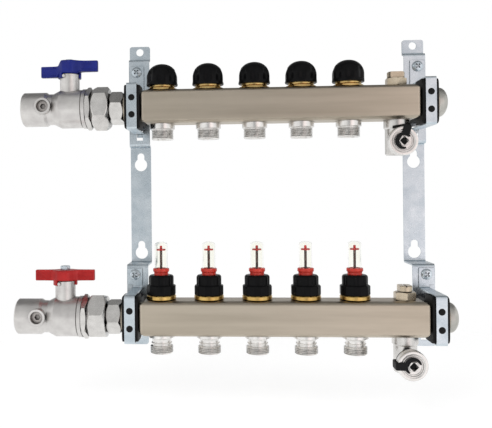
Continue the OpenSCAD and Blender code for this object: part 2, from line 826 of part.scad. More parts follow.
// A red disc on a stem that reaches down to the flow plate in the bar
module flow_indicator(i) {
    r = stem_d / 2;
    color(red) at_port(SUPPLY, i) turned([
        [flow_plate_d / 2, flow_plate_z], [flow_plate_d / 2, flow_plate_z + disc_h],
        [r, flow_plate_z + disc_h], [r, disc_z], [disc_d / 2, disc_z], [disc_d / 2, disc_z + disc_h],
        [r, disc_z + disc_h], [r, disc_z + disc_h + nub_h - 1], [r - 0.6, disc_z + disc_h + nub_h]]);
}

// Vents and drains

module vent_bodies() {
    over = 1;
    color(nickel) for (k = [RETURN, SUPPLY]) at_service(k) difference() {
        union() {
            translate([0, 0, bar_top - spigot_len]) cylinder(d = vent_hole_d - 2 * seat_gap, h = spigot_len);
            translate([0, 0, bar_top]) rotate([0, 0, 30]) hex_bar(vent_af, vent_hex_h);
        }
        translate([0, 0, bar_top - spigot_len - over])
            cylinder(d = vent_stem_d + 2 * run_gap, h = spigot_len + vent_hex_h + 2 * over);
    }
}

module vent_knob(k) {
    base = bar_top + vent_hex_h + move_gap;
    r = vent_knob_d / 2;
    slot_l = 1.6;
    bevel = 0.8;
    color(nickel) at_service(k) rotate([0, 0, vent_angle[k]]) difference() {
        turned([
            [vent_stem_d / 2, base - vent_stem_len], [vent_stem_d / 2, base], [r - bevel, base],
            [r, base + bevel], [r, base + vent_knob_h - bevel], [r - bevel, base + vent_knob_h]]);
        translate([0, 0, base + vent_knob_h]) cube([2 * vent_knob_d, slot_l, 2 * slot_l], center = true);
        for (y = [-1, 1])
            translate([0, y * (vent_knob_w + vent_knob_d) / 2, base + vent_knob_h / 2])
                cube([2 * vent_knob_d, vent_knob_d, vent_knob_h + 1], center = true);
    }
}

module drain_bodies() {
    foot = -bar_top - drain_len;
    c = drain_collar_d / 2;
    r = drain_d / 2;
    collar_z = -bar_top - drain_collar_h;
    bevel = 1.5;
    color(nickel) for (k = [RETURN, SUPPLY]) {
        difference() {
            union() {
                at_service(k) turned([
                    [r - bevel, foot], [r, foot + bevel], [r, collar_z - bevel], [c, collar_z],
                    [c, -bar_top], [drain_hole_d / 2 - seat_gap, -bar_top],
                    [drain_hole_d / 2 - seat_gap, spigot_len - bar_top]]);
                at_outlet(k) turned([
                    [spout_d / 2, 0], [spout_d / 2, drain_reach], [spout_thread_d / 2, drain_reach],
                    [spout_thread_d / 2, drain_reach + drain_cap_h - cap_floor]]);
            }
            at_service(k) translate([0, 0, outlet_z]) cylinder(d = drain_bore_d, h = drain_drop + bar_h / 2);
            at_outlet(k) cylinder(d = drain_bore_d, h = drain_face);
        }
    }
}

// A screw cap with a square key hole in its hexagon boss
module drain_cap(k) {
    r = drain_cap_d / 2;
    back = drain_reach + move_gap;
    bevel = 1.5;
    key_w = 5.5;
    rim_t = 2;
    dish = 0.6;
    inside_h = drain_cap_h - cap_floor + move_gap;
    color(nickel) at_outlet(k) difference() {
        union() {
            turned([
                [r - bevel, back], [r, back + bevel], [r, drain_face - bevel], [r - bevel, drain_face],
                [r - rim_t - bevel, drain_face], [boss_corner_d / 2, drain_face - dish]]);
            translate([0, 0, drain_face - 2 * dish])
                cylinder(d = boss_corner_d, h = boss_h + 2 * dish, $fn = 6);
        }
        translate([0, 0, back - 1]) cylinder(d = spout_thread_d + 2 * move_gap, h = inside_h + 1);
        translate([0, 0, drain_face + boss_h]) rotate([0, 0, 45])
            cube([key_w, key_w, 2 * boss_h + 1], center = true);
    }
}

// A keeper strap from an eye round the cap's boss, over the cap's rim. The return's strap ends in a band
// round the drain's collar, the supply's in a ring round its spout.
module drain_keepers() {
    front = drain_face + move_gap;
    leg_r = drain_cap_d / 2 + move_gap;
    eye_d = keeper_hole_d + 2 * keeper_eye_wall;
    band_d = drain_collar_d + 2 * seat_gap;
    band_h = keeper_w - keeper_t;
    ring_d = spout_d + 2 * seat_gap;
    ring_wall = 2 * keeper_t;
    ring_back = 1;
    ring_z = drain_reach - ring_back - band_h;
    leg_end = [band_d / 2, ring_z];
    color(rubber) for (k = [RETURN, SUPPLY]) at_outlet(k) rotate([0, 0, keeper_angle[k]]) difference() {
        union() {
            translate([0, 0, front]) cylinder(d = eye_d, h = keeper_t);
            translate([0, -keeper_w / 2, front]) cube([leg_r + keeper_t, keeper_w, keeper_t]);
            translate([leg_r, -keeper_w / 2, leg_end[k]])
                cube([keeper_t, keeper_w, front - leg_end[k] + keeper_t]);
            if (k == SUPPLY) {
                translate([0, -keeper_w / 2, ring_z]) cube([leg_r + keeper_t, keeper_w, band_h]);
                translate([0, 0, ring_z]) cylinder(d = ring_d + 2 * ring_wall, h = band_h);
            }
        }
        translate([0, 0, front - 1]) cylinder(d = keeper_hole_d, h = keeper_t + 2);
        translate([0, 0, ring_z - 1]) cylinder(d = ring_d, h = band_h + 2);
    }
    color(rubber) at_service(RETURN) translate([0, 0, outlet_z + leg_r]) difference() {
        cylinder(d = band_d + 2 * keeper_t, h = band_h);
        translate([0, 0, -1]) cylinder(d = band_d, h = band_h + 2);
    }
}

// Ball valves

module tailpieces() {
    barrel_r = tail_barrel_d / 2;
    flange_r = union_d / 2 - thread_play;
    color(nickel) for (k = [RETURN, SUPPLY]) at_valve(k) difference() {
        union() {
            translate([0, 0, -tail_spigot_len]) cylinder(d = neck_bore_d - 2 * seat_gap, h = tail_spigot_len);
            rotate([0, 0, tail_angle]) hex_bar(tail_af, tail_hex_len);
            cylinder(r = barrel_r, h = gasket_start);
            translate([0, 0, flange_start]) cylinder(r = flange_r, h = flange_len);
        }
        translate([0, 0, -tail_spigot_len - 1]) cylinder(d = water_d, h = gasket_start + tail_spigot_len + 2);
    }
}

// A captive nut that draws the tailpiece's flange against the connector
module union_nut(k) {
    color(nickel) at_valve(k) difference() {
        translate([0, 0, nut_start]) rotate([0, 0, union_angle[k]]) hex_bar(union_af, union_len);
        cylinder(d = tail_barrel_d + 2 * move_gap, h = nut_end + 1);
        translate([0, 0, nut_start + nut_wall]) cylinder(d = union_d + 2 * move_gap, h = union_len);
    }
}

module valve_connectors() {
    bevel = 1;
    r = union_d / 2;
    color(nickel) for (k = [RETURN, SUPPLY]) at_valve(k) difference() {
        union() {
            turned([
                [r - bevel, connector_start], [r, connector_start + bevel], [r, connector_hex_start]]);
            translate([0, 0, connector_hex_start]) hex_bar(connector_af, connector_hex_len);
            cylinder_between(cavity_r - seat_gap, body_start, body_start + insert_len);
        }
        cylinder(d = water_d, h = valve_end);
        cylinder_between(seat_recess_r, ball_u - ball_r, body_start + insert_len + 1);
    }
}

module valve_bodies() {
    b = valve_d / 2;
    w = waist_d / 2;
    f = female_d / 2;
    waist_start = body_start + valve_len;
    female_start = valve_end - female_len;
    groove = 0.8;
    bevel = 1.5;
    slope = 3;
    outline = [
        [b + groove, body_start], [b + groove, body_start + collar_len],
        [b - groove, body_start + collar_len + 0.5], [b, body_start + collar_len + 1.5],
        [b, waist_start - 2 * slope], [w, waist_start + slope], [w, female_start - slope],
        [f, female_start], [f, valve_end - bevel], [f - bevel, valve_end]];
    color(nickel) for (k = [RETURN, SUPPLY]) difference() {
        union() {
            at_valve(k) turned(outline);
            at_ball(k) {
                cylinder(r = bonnet_r, h = bonnet_h);
                rotate([0, 0, lug_angle]) translate([0, 0, bonnet_h - skirt_h / 2]) rotate([0, 90, 0])
                    cylinder(r = lug_r, h = hub_r, $fn = 24);
            }
            at_port_boss(k) cylinder(d = port_boss_d, h = boss_reach);
        }
        at_valve(k) {
            cylinder(d = water_d, h = valve_end);
            cylinder_between(cavity_r, body_start - 1, ball_u + ball_r - seat_len);
            cylinder_between(seat_recess_r, ball_u, ball_u + ball_r);
            cylinder_between(female_r, valve_end - female_depth, valve_end + 1);
        }
        at_ball(k) cylinder(d = spindle_d + 2 * run_gap, h = bonnet_h + 1);
        at_port_boss(k) cylinder(d = port_d, h = boss_reach + 1);
    }
}

// The test port at the front of the female end
module at_port_boss(k) at_bar(k) translate([-neck_end - boss_u, 0, boss_rise]) rotate([90, 0, 0]) children();

module port_plugs() {
    plug_start = water_d / 2 + boss_out;
    plug_sunk = 5;
    plug_end = boss_reach - plug_sunk;
    key_h = 3;
    color(nickel) for (k = [RETURN, SUPPLY]) at_port_boss(k) difference() {
        cylinder_between(port_d / 2 - seat_gap, plug_start, plug_end);
        translate([0, 0, plug_end - key_h]) cylinder(d = port_d / 2, h = key_h + 1, $fn = 6);
    }
}

// Ball seats on both sides of each ball, and the flat gasket of each union
module sealing_rings() {
    color("white") for (k = [RETURN, SUPPLY]) {
        at_valve(k) translate([0, 0, gasket_start]) tube(union_d - 2 * thread_play, water_d, gasket_t);
        at_valve(k) difference() {
            for (u = [ball_u - ball_r, ball_u + ball_r - seat_len])
                translate([0, 0, u]) tube(2 * (seat_recess_r - seat_gap), water_d, seat_len);
            translate([0, 0, ball_u]) sphere(r = ball_r + run_gap);
        }
    }
}

module ball(k) {
    slot_w = square_w + 2 * seat_gap;
    color(nickel) at_ball(k) difference() {
        sphere(r = ball_r);
        rotate([0, 90, 0]) cylinder(d = water_d, h = ball_d, center = true);
        translate([0, 0, ball_r]) cube([ball_d, slot_w, 2 * (ball_r - water_d / 2) - 2], center = true);
    }
}

// A spindle from the ball's slot to the handle's nut
module stem(k) {
    seat = hub_base + hub_h[k] - nut_sunk[k];
    top = seat + nut_h;
    bottom = water_d / 2 + 1 + seat_gap;
    shoulder = ball_r + seat_gap;
    color(zinc) at_ball(k) {
        translate([-spindle_d / 2, -square_w / 2, bottom]) cube([spindle_d, square_w, shoulder - bottom]);
        cylinder_between(spindle_d / 2, shoulder, bonnet_h);
        intersection() {
            cylinder_between(spindle_d / 2, bonnet_h, seat);
            translate([0, 0, top / 2]) cube([2 * spindle_d, square_w, top], center = true);
        }
        cylinder_between(square_w / 2, seat, top);
    }
}

// A butterfly handle: a hub with a stop skirt and two upright wings
module handle(k) {
    end_r = 2;
    inner = bonnet_r + move_gap;
    root_x = inner + skirt_wall / 2;
    reach = handle_len / 2;
    right_z = hub_base + hub_h[k] - wing_h[k] / 2;
    wing_z = [right_z - wing_step[k], right_z];
    color(handle_colours[k]) at_ball(k) difference() {
        union() {
            translate([0, 0, hub_base - skirt_h]) cylinder(r = hub_r, h = hub_h[k] + skirt_h);
            for (side = [0, 1])
                translate([(2 * side - 1) * (reach + root_x - end_r) / 2, 0, wing_z[side]])
                    rotate([90, 0, 0]) linear_extrude(wing_t, center = true)
                        rounded_rect(reach - root_x + end_r, wing_h[k], end_r);
        }
        translate([0, 0, hub_base - skirt_h - 1]) cylinder(r = inner, h = skirt_h + 1);
        rotate([0, 0, lug_angle - lug_half]) rotate_extrude(angle = 90 + 2 * lug_half)
            translate([inner / 2, hub_base - skirt_h - 1]) square([hub_r, skirt_h + 1]);
        translate([0, 0, hub_base - 1]) intersection() {
            cylinder(d = spindle_d + 2 * seat_gap, h = 2 * hub_h[k]);
            translate([0, 0, hub_h[k]])
                cube([2 * spindle_d, square_w + 2 * seat_gap, 3 * hub_h[k]], center = true);
        }
        if (nut_sunk[k] > 0) translate([0, 0, hub_base + hub_h[k] - nut_sunk[k]])
            cylinder(d = handle_nut_af / cos(30) + 2 * move_gap, h = nut_sunk[k] + 1);
    }
}

module handle_nut(k) {
    color(zinc) at_ball(k) translate([0, 0, hub_base + hub_h[k] - nut_sunk[k]]) difference() {
        hex_bar(handle_nut_af, nut_h);
        translate([0, 0, -1]) cylinder(d = square_w + 2 * seat_gap, h = nut_h + 2);
    }
}

bracket(1);  // left_bracket
bracket(0);  // right_bracket
clamp_straps();
clamp_cushions();
clamp_screws();
end_plugs();
return_nipples();
supply_nipples();
valve_inserts();
meter_bases();
sight_tubes();
vent_bodies();
drain_bodies();
drain_keepers();
valve_bodies();
valve_connectors();
port_plugs();
sealing_rings();
tailpieces();
for (k = [RETURN, SUPPLY]) {
    bar(k);
    handle(k);
    handle_nut(k);
    stem(k);
    ball(k);
    union_nut(k);
    vent_knob(k);
    drain_cap(k);
}
for (i = [1 : circuits]) {
    control_cap(i);
    valve_pin(i);
    meter_knob(i);
    lock_ring(i);
    flow_indicator(i);
}
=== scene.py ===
# %% [markdown]
# # Dressing an underfloor heating manifold
# The solids of the manifold arrive as a fixed frame: two square steel bars on zinc
# brackets, ball valves, flow meters, hand caps, vents and drains. This lesson gives each
# surface its finish, adds the forms that a mould or a thread cutter leaves, and sets the
# whole in front of a plain white studio. Places come from the frame, so a piece sits where
# its solid sits, and the lesson only adds what a solid can't say.

# %% The frame
import json

import bmesh
import bpy
import numpy as np
from mathutils import Matrix, Vector


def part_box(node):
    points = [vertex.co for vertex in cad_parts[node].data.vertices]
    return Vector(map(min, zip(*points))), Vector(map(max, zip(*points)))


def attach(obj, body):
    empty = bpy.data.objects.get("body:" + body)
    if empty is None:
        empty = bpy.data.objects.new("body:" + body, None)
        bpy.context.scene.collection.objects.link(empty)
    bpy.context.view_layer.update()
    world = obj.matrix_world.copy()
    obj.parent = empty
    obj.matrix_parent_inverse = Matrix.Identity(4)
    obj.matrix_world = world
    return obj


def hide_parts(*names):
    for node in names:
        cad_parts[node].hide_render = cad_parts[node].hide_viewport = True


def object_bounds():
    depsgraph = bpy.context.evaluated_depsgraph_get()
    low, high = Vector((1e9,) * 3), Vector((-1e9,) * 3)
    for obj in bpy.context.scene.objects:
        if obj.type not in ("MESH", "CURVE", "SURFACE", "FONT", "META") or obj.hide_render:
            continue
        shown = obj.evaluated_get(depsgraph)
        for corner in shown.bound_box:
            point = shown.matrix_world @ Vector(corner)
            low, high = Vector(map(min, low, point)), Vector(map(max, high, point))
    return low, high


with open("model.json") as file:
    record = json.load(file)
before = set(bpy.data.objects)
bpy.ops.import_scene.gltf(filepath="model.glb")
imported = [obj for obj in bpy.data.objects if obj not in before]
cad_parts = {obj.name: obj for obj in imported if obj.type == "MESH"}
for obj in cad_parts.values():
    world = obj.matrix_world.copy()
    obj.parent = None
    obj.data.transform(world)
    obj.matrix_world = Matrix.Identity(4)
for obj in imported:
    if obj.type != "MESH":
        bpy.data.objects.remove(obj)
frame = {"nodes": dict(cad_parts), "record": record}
cad_low, cad_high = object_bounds()
nodes = frame["nodes"]
MM = 0.001
CIRCUITS = range(1, 6)
LINES = ("return", "supply")
print("frame:", len(nodes), "nodes, box", [round(v, 3) for v in (*cad_low, *cad_high)])

# %% [markdown]
# ## Where the camera stands
# The camera stands about 0.9 m in front, a little left of the middle and level with it.
# Its sensor is 36 mm wide, so a focal length in pixels becomes a lens in millimetres when
# it is multiplied by 36 and divided by the picture's width. A small shift keeps the
# picture plane nearly parallel to the bars, as a product photographer does.

# %% The camera
FRAME_W, FRAME_H = 492, 428
FOCAL_PX = 700
CENTRE_PX = (180.0, 191.8)
SENSOR = 36.0
CAMERA_AT = Vector((-0.0549, -0.8954, 0.0203))
CAMERA_RIGHT = Vector((0.9972, 0.0743, -0.0099))
CAMERA_FORWARD = Vector((-0.0743, 0.9972, 0.0012))

camera_data = bpy.data.cameras.new("camera")
camera_data.sensor_width = SENSOR
camera_data.lens = FOCAL_PX / FRAME_W * SENSOR
camera_data.shift_x = (FRAME_W / 2 - CENTRE_PX[0]) / FRAME_W
camera_data.shift_y = (CENTRE_PX[1] - FRAME_H / 2) / FRAME_W
camera = bpy.data.objects.new("camera", camera_data)
backward = -CAMERA_FORWARD.normalized()
upward = backward.cross(CAMERA_RIGHT).normalized()
sideways = upward.cross(backward)
turn = Matrix((sideways, upward, backward)).transposed()
camera.matrix_world = Matrix.Translation(CAMERA_AT) @ turn.to_4x4()
bpy.context.scene.collection.objects.link(camera)
bpy.context.scene.camera = camera
print("camera: lens", round(camera_data.lens, 1), "mm, shift", round(camera_data.shift_x, 3))

# %% [markdown]
# ## Small helpers for shader nodes
# The world, the floor and all finishes are trees of nodes. Five helpers keep their lines
# short: they join sockets, add nodes, and map a number to a range or to a colour.

# %% Node helpers


def link(tree, source, target):
    """Joins an output socket to an input socket."""
    tree.links.new(source, target)


def add(tree, kind, **inputs):
    """Adds a shader node and sets its sockets by name."""
    node = tree.nodes.new("ShaderNode" + kind)
    for name, value in inputs.items():
        node.inputs[name.replace("_", " ")].default_value = value
    return node


def join(tree, kind, *sources):
    """Adds a shader node and joins the sources to its inputs, in their order."""
    node = add(tree, kind)
    for source, target in zip(sources, node.inputs):
        link(tree, source, target)
    return node


def spread(tree, factor, low, high, start=0.3, end=0.7):
    """A number that goes from low to high as the factor goes from start to end."""
    node = add(tree, "MapRange")
    for name, value in (("From Min", start), ("From Max", end), ("To Min", low), ("To Max", high)):
        node.inputs[name].default_value = value
    link(tree, factor, node.inputs["Value"])
    return node.outputs["Result"]


def ramp(tree, factor, stops):
    """A colour from a list of (place, colour) stops."""
    node = add(tree, "ValToRGB")
    band = node.color_ramp
    while len(band.elements) < len(stops):
        band.elements.new(0.5)
    for element, (place, colour) in zip(band.elements, stops):
        element.position = place
        element.color = colour
    link(tree, factor, node.inputs["Fac"])
    return node.outputs["Color"]


print("node helpers:", *(helper.__name__ for helper in (link, add, join, spread, ramp)))

# %% [markdown]
# ## The studio
# The photo shows the part in front of pure white, so the world is white for the camera,
# and also for reflections and for what is seen through the glass. For the light that
# falls on surfaces it is a dimmer grey, which leaves room for three soft lamps. A brighter
# world alone would be simpler, but it would leave the black pieces without any form.

# %% World and lamps
WORLD_GREY = 0.55


def seen_directly(tree):
    """One for camera, mirror and see-through rays, nought for the rest."""
    path = add(tree, "LightPath")
    total = path.outputs["Is Camera Ray"]
    for name in ("Is Glossy Ray", "Is Transmission Ray"):
        either = join(tree, "Math", total, path.outputs[name])
        either.operation = "MAXIMUM"
        total = either.outputs[0]
    return total


def build_world():
    """White where it is seen, grey where it lights."""
    world = bpy.data.worlds.new("studio")
    bpy.context.scene.world = world
    world.use_nodes = True
    tree = world.node_tree
    grey = tree.nodes["Background"]
    grey.inputs["Color"].default_value = (1.0, 1.0, 1.0, 1.0)
    grey.inputs["Strength"].default_value = WORLD_GREY
    white = add(tree, "Background", Color=(1.0, 1.0, 1.0, 1.0), Strength=1.0)
    mix = join(tree, "MixShader", seen_directly(tree), grey.outputs[0], white.outputs[0])
    link(tree, mix.outputs[0], tree.nodes["World Output"].inputs["Surface"])


def lamp(name, at, size, power, aim=(0.0, -0.05, 0.0)):
    """A square soft lamp at a place, turned to look at a point."""
    data = bpy.data.lights.new(name, "AREA")
    data.size = size
    data.energy = power
    obj = bpy.data.objects.new(name, data)
    obj.location = at
    obj.rotation_euler = (Vector(aim) - Vector(at)).to_track_quat("-Z", "Y").to_euler()
    obj.visible_glossy = False
    bpy.context.scene.collection.objects.link(obj)


build_world()
lamp("key", (-0.7, -1.3, 0.9), 0.9, 9.0)
lamp("fill", (1.0, -1.1, 0.2), 0.9, 5.0)
lamp("below", (0.0, -0.9, -0.9), 1.0, 4.0)
print("lamps:", [light.name for light in bpy.data.lights])

# %% [markdown]
# ## The floor
# A pale sheet under the part catches its shadow. It is lit from within as well, so it is
# nearly white, and it fades to nothing before its edge could show against the white behind.

# %% Floor
FLOOR_R, FLOOR_DROP = 0.75, 0.045
FLOOR_Z = cad_low.z - FLOOR_DROP


def stage_card(name, corners, material):
    """A flat card of the studio, through four corners."""
    mesh = bpy.data.meshes.new(name)
    mesh.from_pydata(corners, [], [(0, 1, 2, 3)])
    mesh.materials.append(material)
    obj = bpy.data.objects.new(name, mesh)
    bpy.context.scene.collection.objects.link(obj)
    return obj


def floor_material(radius):
    """A pale floor that fades out to the white behind it at the given radius."""
    mat = bpy.data.materials.new("pale_floor")
    mat.use_nodes = True
    tree = mat.node_tree
    tree.nodes.remove(tree.nodes["Principled BSDF"])
    length = join(tree, "VectorMath", add(tree, "TexCoord").outputs["Object"])
    length.operation = "LENGTH"
    fade = add(tree, "MapRange")
    fade.interpolation_type = "SMOOTHSTEP"
    fade.inputs["From Min"].default_value = radius * 0.45
    fade.inputs["From Max"].default_value = radius
    link(tree, length.outputs["Value"], fade.inputs["Value"])
    paper = add(tree, "BsdfDiffuse", Color=(0.4, 0.4, 0.4, 1.0))
    glow = add(tree, "Emission", Color=(1.0, 1.0, 1.0, 1.0), Strength=0.74)
    both = join(tree, "AddShader", paper.outputs[0], glow.outputs[0])
    clear = add(tree, "BsdfTransparent")
    mix = join(tree, "MixShader", fade.outputs["Result"], both.outputs[0], clear.outputs[0])
    link(tree, mix.outputs[0], tree.nodes["Material Output"].inputs["Surface"])
    return mat


floor = stage_card(
    "floor",
    [(-FLOOR_R, -FLOOR_R, FLOOR_Z), (FLOOR_R, -FLOOR_R, FLOOR_Z),
     (FLOOR_R, FLOOR_R, FLOOR_Z), (-FLOOR_R, FLOOR_R, FLOOR_Z)],
    floor_material(FLOOR_R))
floor.visible_glossy = False
print("floor at", round(FLOOR_Z, 3), "m")

# %% [markdown]
# ## Cards for the metal to mirror
# Metal has no colour of its own to show: it shows what stands around it. A row of grey cards
# from the knees over the roof to the back gives it something to mirror, and only mirror
# reflections see them. Bright lamps would leave hard spots instead. The front cards get
# lighter to the left and right, as the bars do in the photo.

# %% Mirror cards
CARD_HALF_W = 2.0


def mirror_card(name, front, back, grey, gradient):
    """A card between two lines of (Y, Z) that only shows in mirror reflections. At each X of
    the gradient its glow is its grey times a tint."""
    mat = bpy.data.materials.new(name)
    mat.use_nodes = True
    tree = mat.node_tree
    tree.nodes.remove(tree.nodes["Principled BSDF"])
    axes = join(tree, "SeparateXYZ", add(tree, "TexCoord").outputs["Object"])
    glow = add(tree, "Emission", Strength=1.0)
    across = spread(tree, axes.outputs["X"], 0, 1, -CARD_HALF_W, CARD_HALF_W)
    stops = [((x / CARD_HALF_W + 1) / 2, (*(grey * np.array(tint)).tolist(), 1.0)) for x, tint in gradient]
    link(tree, ramp(tree, across, stops), glow.inputs["Color"])
    link(tree, glow.outputs[0], tree.nodes["Material Output"].inputs["Surface"])
    corners = [(-CARD_HALF_W, *front), (CARD_HALF_W, *front), (CARD_HALF_W, *back), (-CARD_HALF_W, *back)]
    card = stage_card(name, corners, mat)
    card.visible_camera = False
    card.visible_diffuse = False
    card.visible_transmission = False
    card.visible_shadow = False


UPPER = [(-0.9, (1.25, 1.25, 1.25)), (-0.4, (0.82, 0.82, 0.82)), (-0.1, (0.55, 0.56, 0.57)),
         (0.3, (0.72, 0.70, 0.70)), (0.65, (1.65, 1.45, 1.42)), (1.2, (1.7, 1.6, 1.6))]
LOWER = [(-0.9, (1.3, 1.3, 1.3)), (-0.4, (1.0, 1.0, 1.0)), (-0.1, (0.62, 0.63, 0.62)),
         (0.3, (0.84, 0.80, 0.82)), (0.65, (1.5, 1.34, 1.34)), (1.2, (1.5, 1.45, 1.45))]
EVEN = [(-1.0, (1.0, 1.0, 1.0)), (1.0, (1.05, 1.05, 1.05))]
CARDS = [
    ("knee_card", (-2.0, -0.6), (-2.0, -0.15), 0.95, LOWER),
    ("front_card", (-2.0, -0.15), (-1.9, 1.1), 0.72, UPPER),
    ("roof_front_card", (-1.9, 1.1), (-0.25, 1.1), 0.6, EVEN),
    ("roof_card", (-0.25, 1.1), (0.7, 1.1), 0.2, EVEN),
    ("high_back_card", (0.7, 1.1), (1.5, 0.45), 0.25, EVEN),
    ("low_back_card", (1.5, 0.45), (1.5, -0.3), 0.72, EVEN)]
for card in CARDS:
    mirror_card(*card)
print("mirror cards:", len(CARDS))

# %% [markdown]
# ## Helpers for finishes
# Every finish is a Principled shader whose colour, gloss and relief vary with noise on
# Object coordinates, which are metres here: a noise scale of 500 gives grains of about
# two millimetres. What is the same all over is set on the shader itself.

# %% Finish helpers
ALIKE = (1.0, 1.0, 1.0)
# The dark tone of the painted shade in corners.
PAINTED_SHADE_TONE = (30, 28, 27)


def srgb(red, green, blue):
    """A colour as a screen shows it, 0 to 255, turned into linear light."""
    c = np.array([red, green, blue]) / 255
    linear = np.where(c <= 0.04045, c / 12.92, ((c + 0.055) / 1.055) ** 2.4)
    return (*linear.tolist(), 1.0)


def new_finish(name, **sockets):
    """A material with one Principled shader, whose constant sockets are set by name."""
    mat = bpy.data.materials.new(name)
    mat.use_nodes = True
    shader = mat.node_tree.nodes["Principled BSDF"]
    for key, value in sockets.items():
        shader.inputs[key.replace("_", " ")].default_value = value
    return mat, mat.node_tree, shader


def noise(tree, scale, detail=3.0, stretch=ALIKE):
    """Noise in space, drawn out along the axes by dividing their coordinates."""
    mapping = join(tree, "Mapping", add(tree, "TexCoord").outputs["Object"])
    mapping.inputs["Scale"].default_value = [1 / s for s in stretch]
    grain = add(tree, "TexNoise", Scale=scale, Detail=detail)
    link(tree, mapping.outputs[0], grain.inputs["Vector"])
    return grain.outputs["Fac"]


def relief(tree, shader, height, depth, edge_r=0.0):
    """Bump of the given depth in metres, over edges that are softened to a small radius."""
    bump = add(tree, "Bump", Distance=depth, Strength=1.0)
    link(tree, height, bump.inputs["Height"])
    if edge_r:
        soft = add(tree, "Bevel", Radius=edge_r)
        soft.samples = 4
        link(tree, soft.outputs["Normal"], bump.inputs["Normal"])
    link(tree, bump.outputs["Normal"], shader.inputs["Normal"])


def worn(name, dark, light, rough, grain, depth, stretch=ALIKE, edge_r=0.0003, corner=0.0, **sockets):
    """The usual finish: two shades in soft patches, gloss between two limits, and a grain
    of the given scale and depth in metres. Painted shade darkens its colour where another
    surface is nearer than the corner's size."""
    mat, tree, shader = new_finish(name, **sockets)
    patches = noise(tree, grain / 12, 4.0, stretch)
    fine = noise(tree, grain, 2.0, stretch)
    colour = ramp(tree, patches, [(0.3, srgb(*dark)), (0.7, srgb(*light))])
    # Painted shade: an ambient occlusion factor mixes the colour towards a dark tone where another surface
    # is near.
    if corner:
        near = add(tree, "AmbientOcclusion", Distance=corner)
        near.samples = 6
        mix = add(tree, "Mix")
        mix.data_type = "RGBA"
        link(tree, spread(tree, near.outputs["AO"], 0, 1, 0.25, 0.75), mix.inputs["Factor"])
        mix.inputs["A"].default_value = srgb(*PAINTED_SHADE_TONE)
        link(tree, colour, mix.inputs["B"])
        colour = mix.outputs["Result"]
    link(tree, colour, shader.inputs["Base Color"])
    link(tree, spread(tree, fine, *rough), shader.inputs["Roughness"])
    relief(tree, shader, fine, depth, edge_r)
    return mat


def metal(name, dark, light, rough, grain, depth, **others):
    """A worn finish that mirrors as metal does, with its own colour in the reflection."""
    return worn(name, dark, light, rough, grain, depth, Metallic=1.0, **others)


print("middle grey on a screen is", round(srgb(128, 128, 128)[0], 3), "in linear light")

# %% [markdown]
# ## Metals
# The bars are satin stainless steel with a warm cast, rubbed along their length, so their
# grain is drawn out along X. The brackets are bright zinc, slightly blue. Valves, unions and
# nipples are brass under satin nickel: cast bodies keep a fine sand grain, turned pieces are
# smoother. Shade collects in corners, so most of them darken where another surface is near.

# %% Metal finishes
# A corner size sets how far the painted shade reaches from where surfaces meet.
STEEL = metal("satin_steel", (178, 168, 152), (198, 188, 172), (0.30, 0.42), 900, 4e-6,
              stretch=(14.0, 1.0, 1.0), edge_r=0.002, corner=0.004)
ZINC = metal("zinc_plate", (190, 202, 210), (214, 223, 229), (0.24, 0.38), 700, 4e-6, corner=0.005)
CAST = metal("cast_nickel", (202, 199, 197), (222, 220, 217), (0.30, 0.44), 1100, 2.2e-5, corner=0.005)
NICKEL = metal("turned_nickel", (204, 202, 199), (222, 220, 217), (0.20, 0.32), 1500, 4e-6, corner=0.005)
PLUG = metal("plug_grey", (186, 181, 177), (212, 207, 203), (0.34, 0.48), 1200, 6e-6, corner=0.007)
DOME = metal("dull_nickel", (176, 175, 169), (198, 196, 190), (0.34, 0.48), 1200, 6e-6, corner=0.004)
BRIGHT = metal("bright_nickel", (224, 222, 219), (240, 238, 235), (0.20, 0.32), 1500, 4e-6, corner=0.002)
GOLD = metal("bright_brass", (204, 170, 108), (224, 194, 130), (0.18, 0.30), 1300, 4e-6)
BRASS = metal("turned_brass", (190, 154, 88), (214, 182, 112), (0.18, 0.30), 1300, 4e-6, corner=0.004)
print("materials with the metals:", len(bpy.data.materials))

# %% [markdown]
# ## Plastics and rubber
# Caps and knobs are black moulded nylon with a fine spark grain. The handles are steel
# under a coat of coloured plastic, and the flow meters have a red ring and a clear tube. The
# ring lets some light through. The tube's walls are thin, and a low index of refraction keeps
# it as clear as it looks in the photo.

# %% Plastic finishes
BLACK = worn("black_nylon", (8, 8, 9), (14, 14, 15), (0.22, 0.36), 1600, 6e-6, Specular_IOR_Level=0.09)
RUBBER = worn("black_rubber", (10, 10, 11), (16, 16, 17), (0.52, 0.68), 900, 1.5e-5, Specular_IOR_Level=0.2)
BLUE = worn("blue_coat", (14, 24, 104), (22, 36, 124), (0.30, 0.44), 900, 6e-6, Specular_IOR_Level=0.25)
RED = worn("red_coat", (160, 20, 22), (182, 32, 32), (0.30, 0.44), 900, 6e-6, Specular_IOR_Level=0.3)
RED_RING = worn("red_ring", (212, 62, 50), (232, 86, 72), (0.14, 0.26), 1200, 4e-6,
                Transmission_Weight=0.4, IOR=1.3)
WHITE = worn("white_seal", (218, 218, 214), (234, 234, 230), (0.4, 0.5), 1000, 4e-6)
# Painted shade darkens the vent finish within its corner size.
CREAM = worn("vent_nickel", (184, 170, 148), (206, 192, 170), (0.22, 0.34), 1200, 4e-6, corner=0.004,
             Metallic=0.8)
CLEAR = worn("clear_tube", (250, 250, 244), (254, 254, 250), (0.02, 0.05), 500, 1e-6, edge_r=0.0,
             Transmission_Weight=1.0, IOR=1.18)


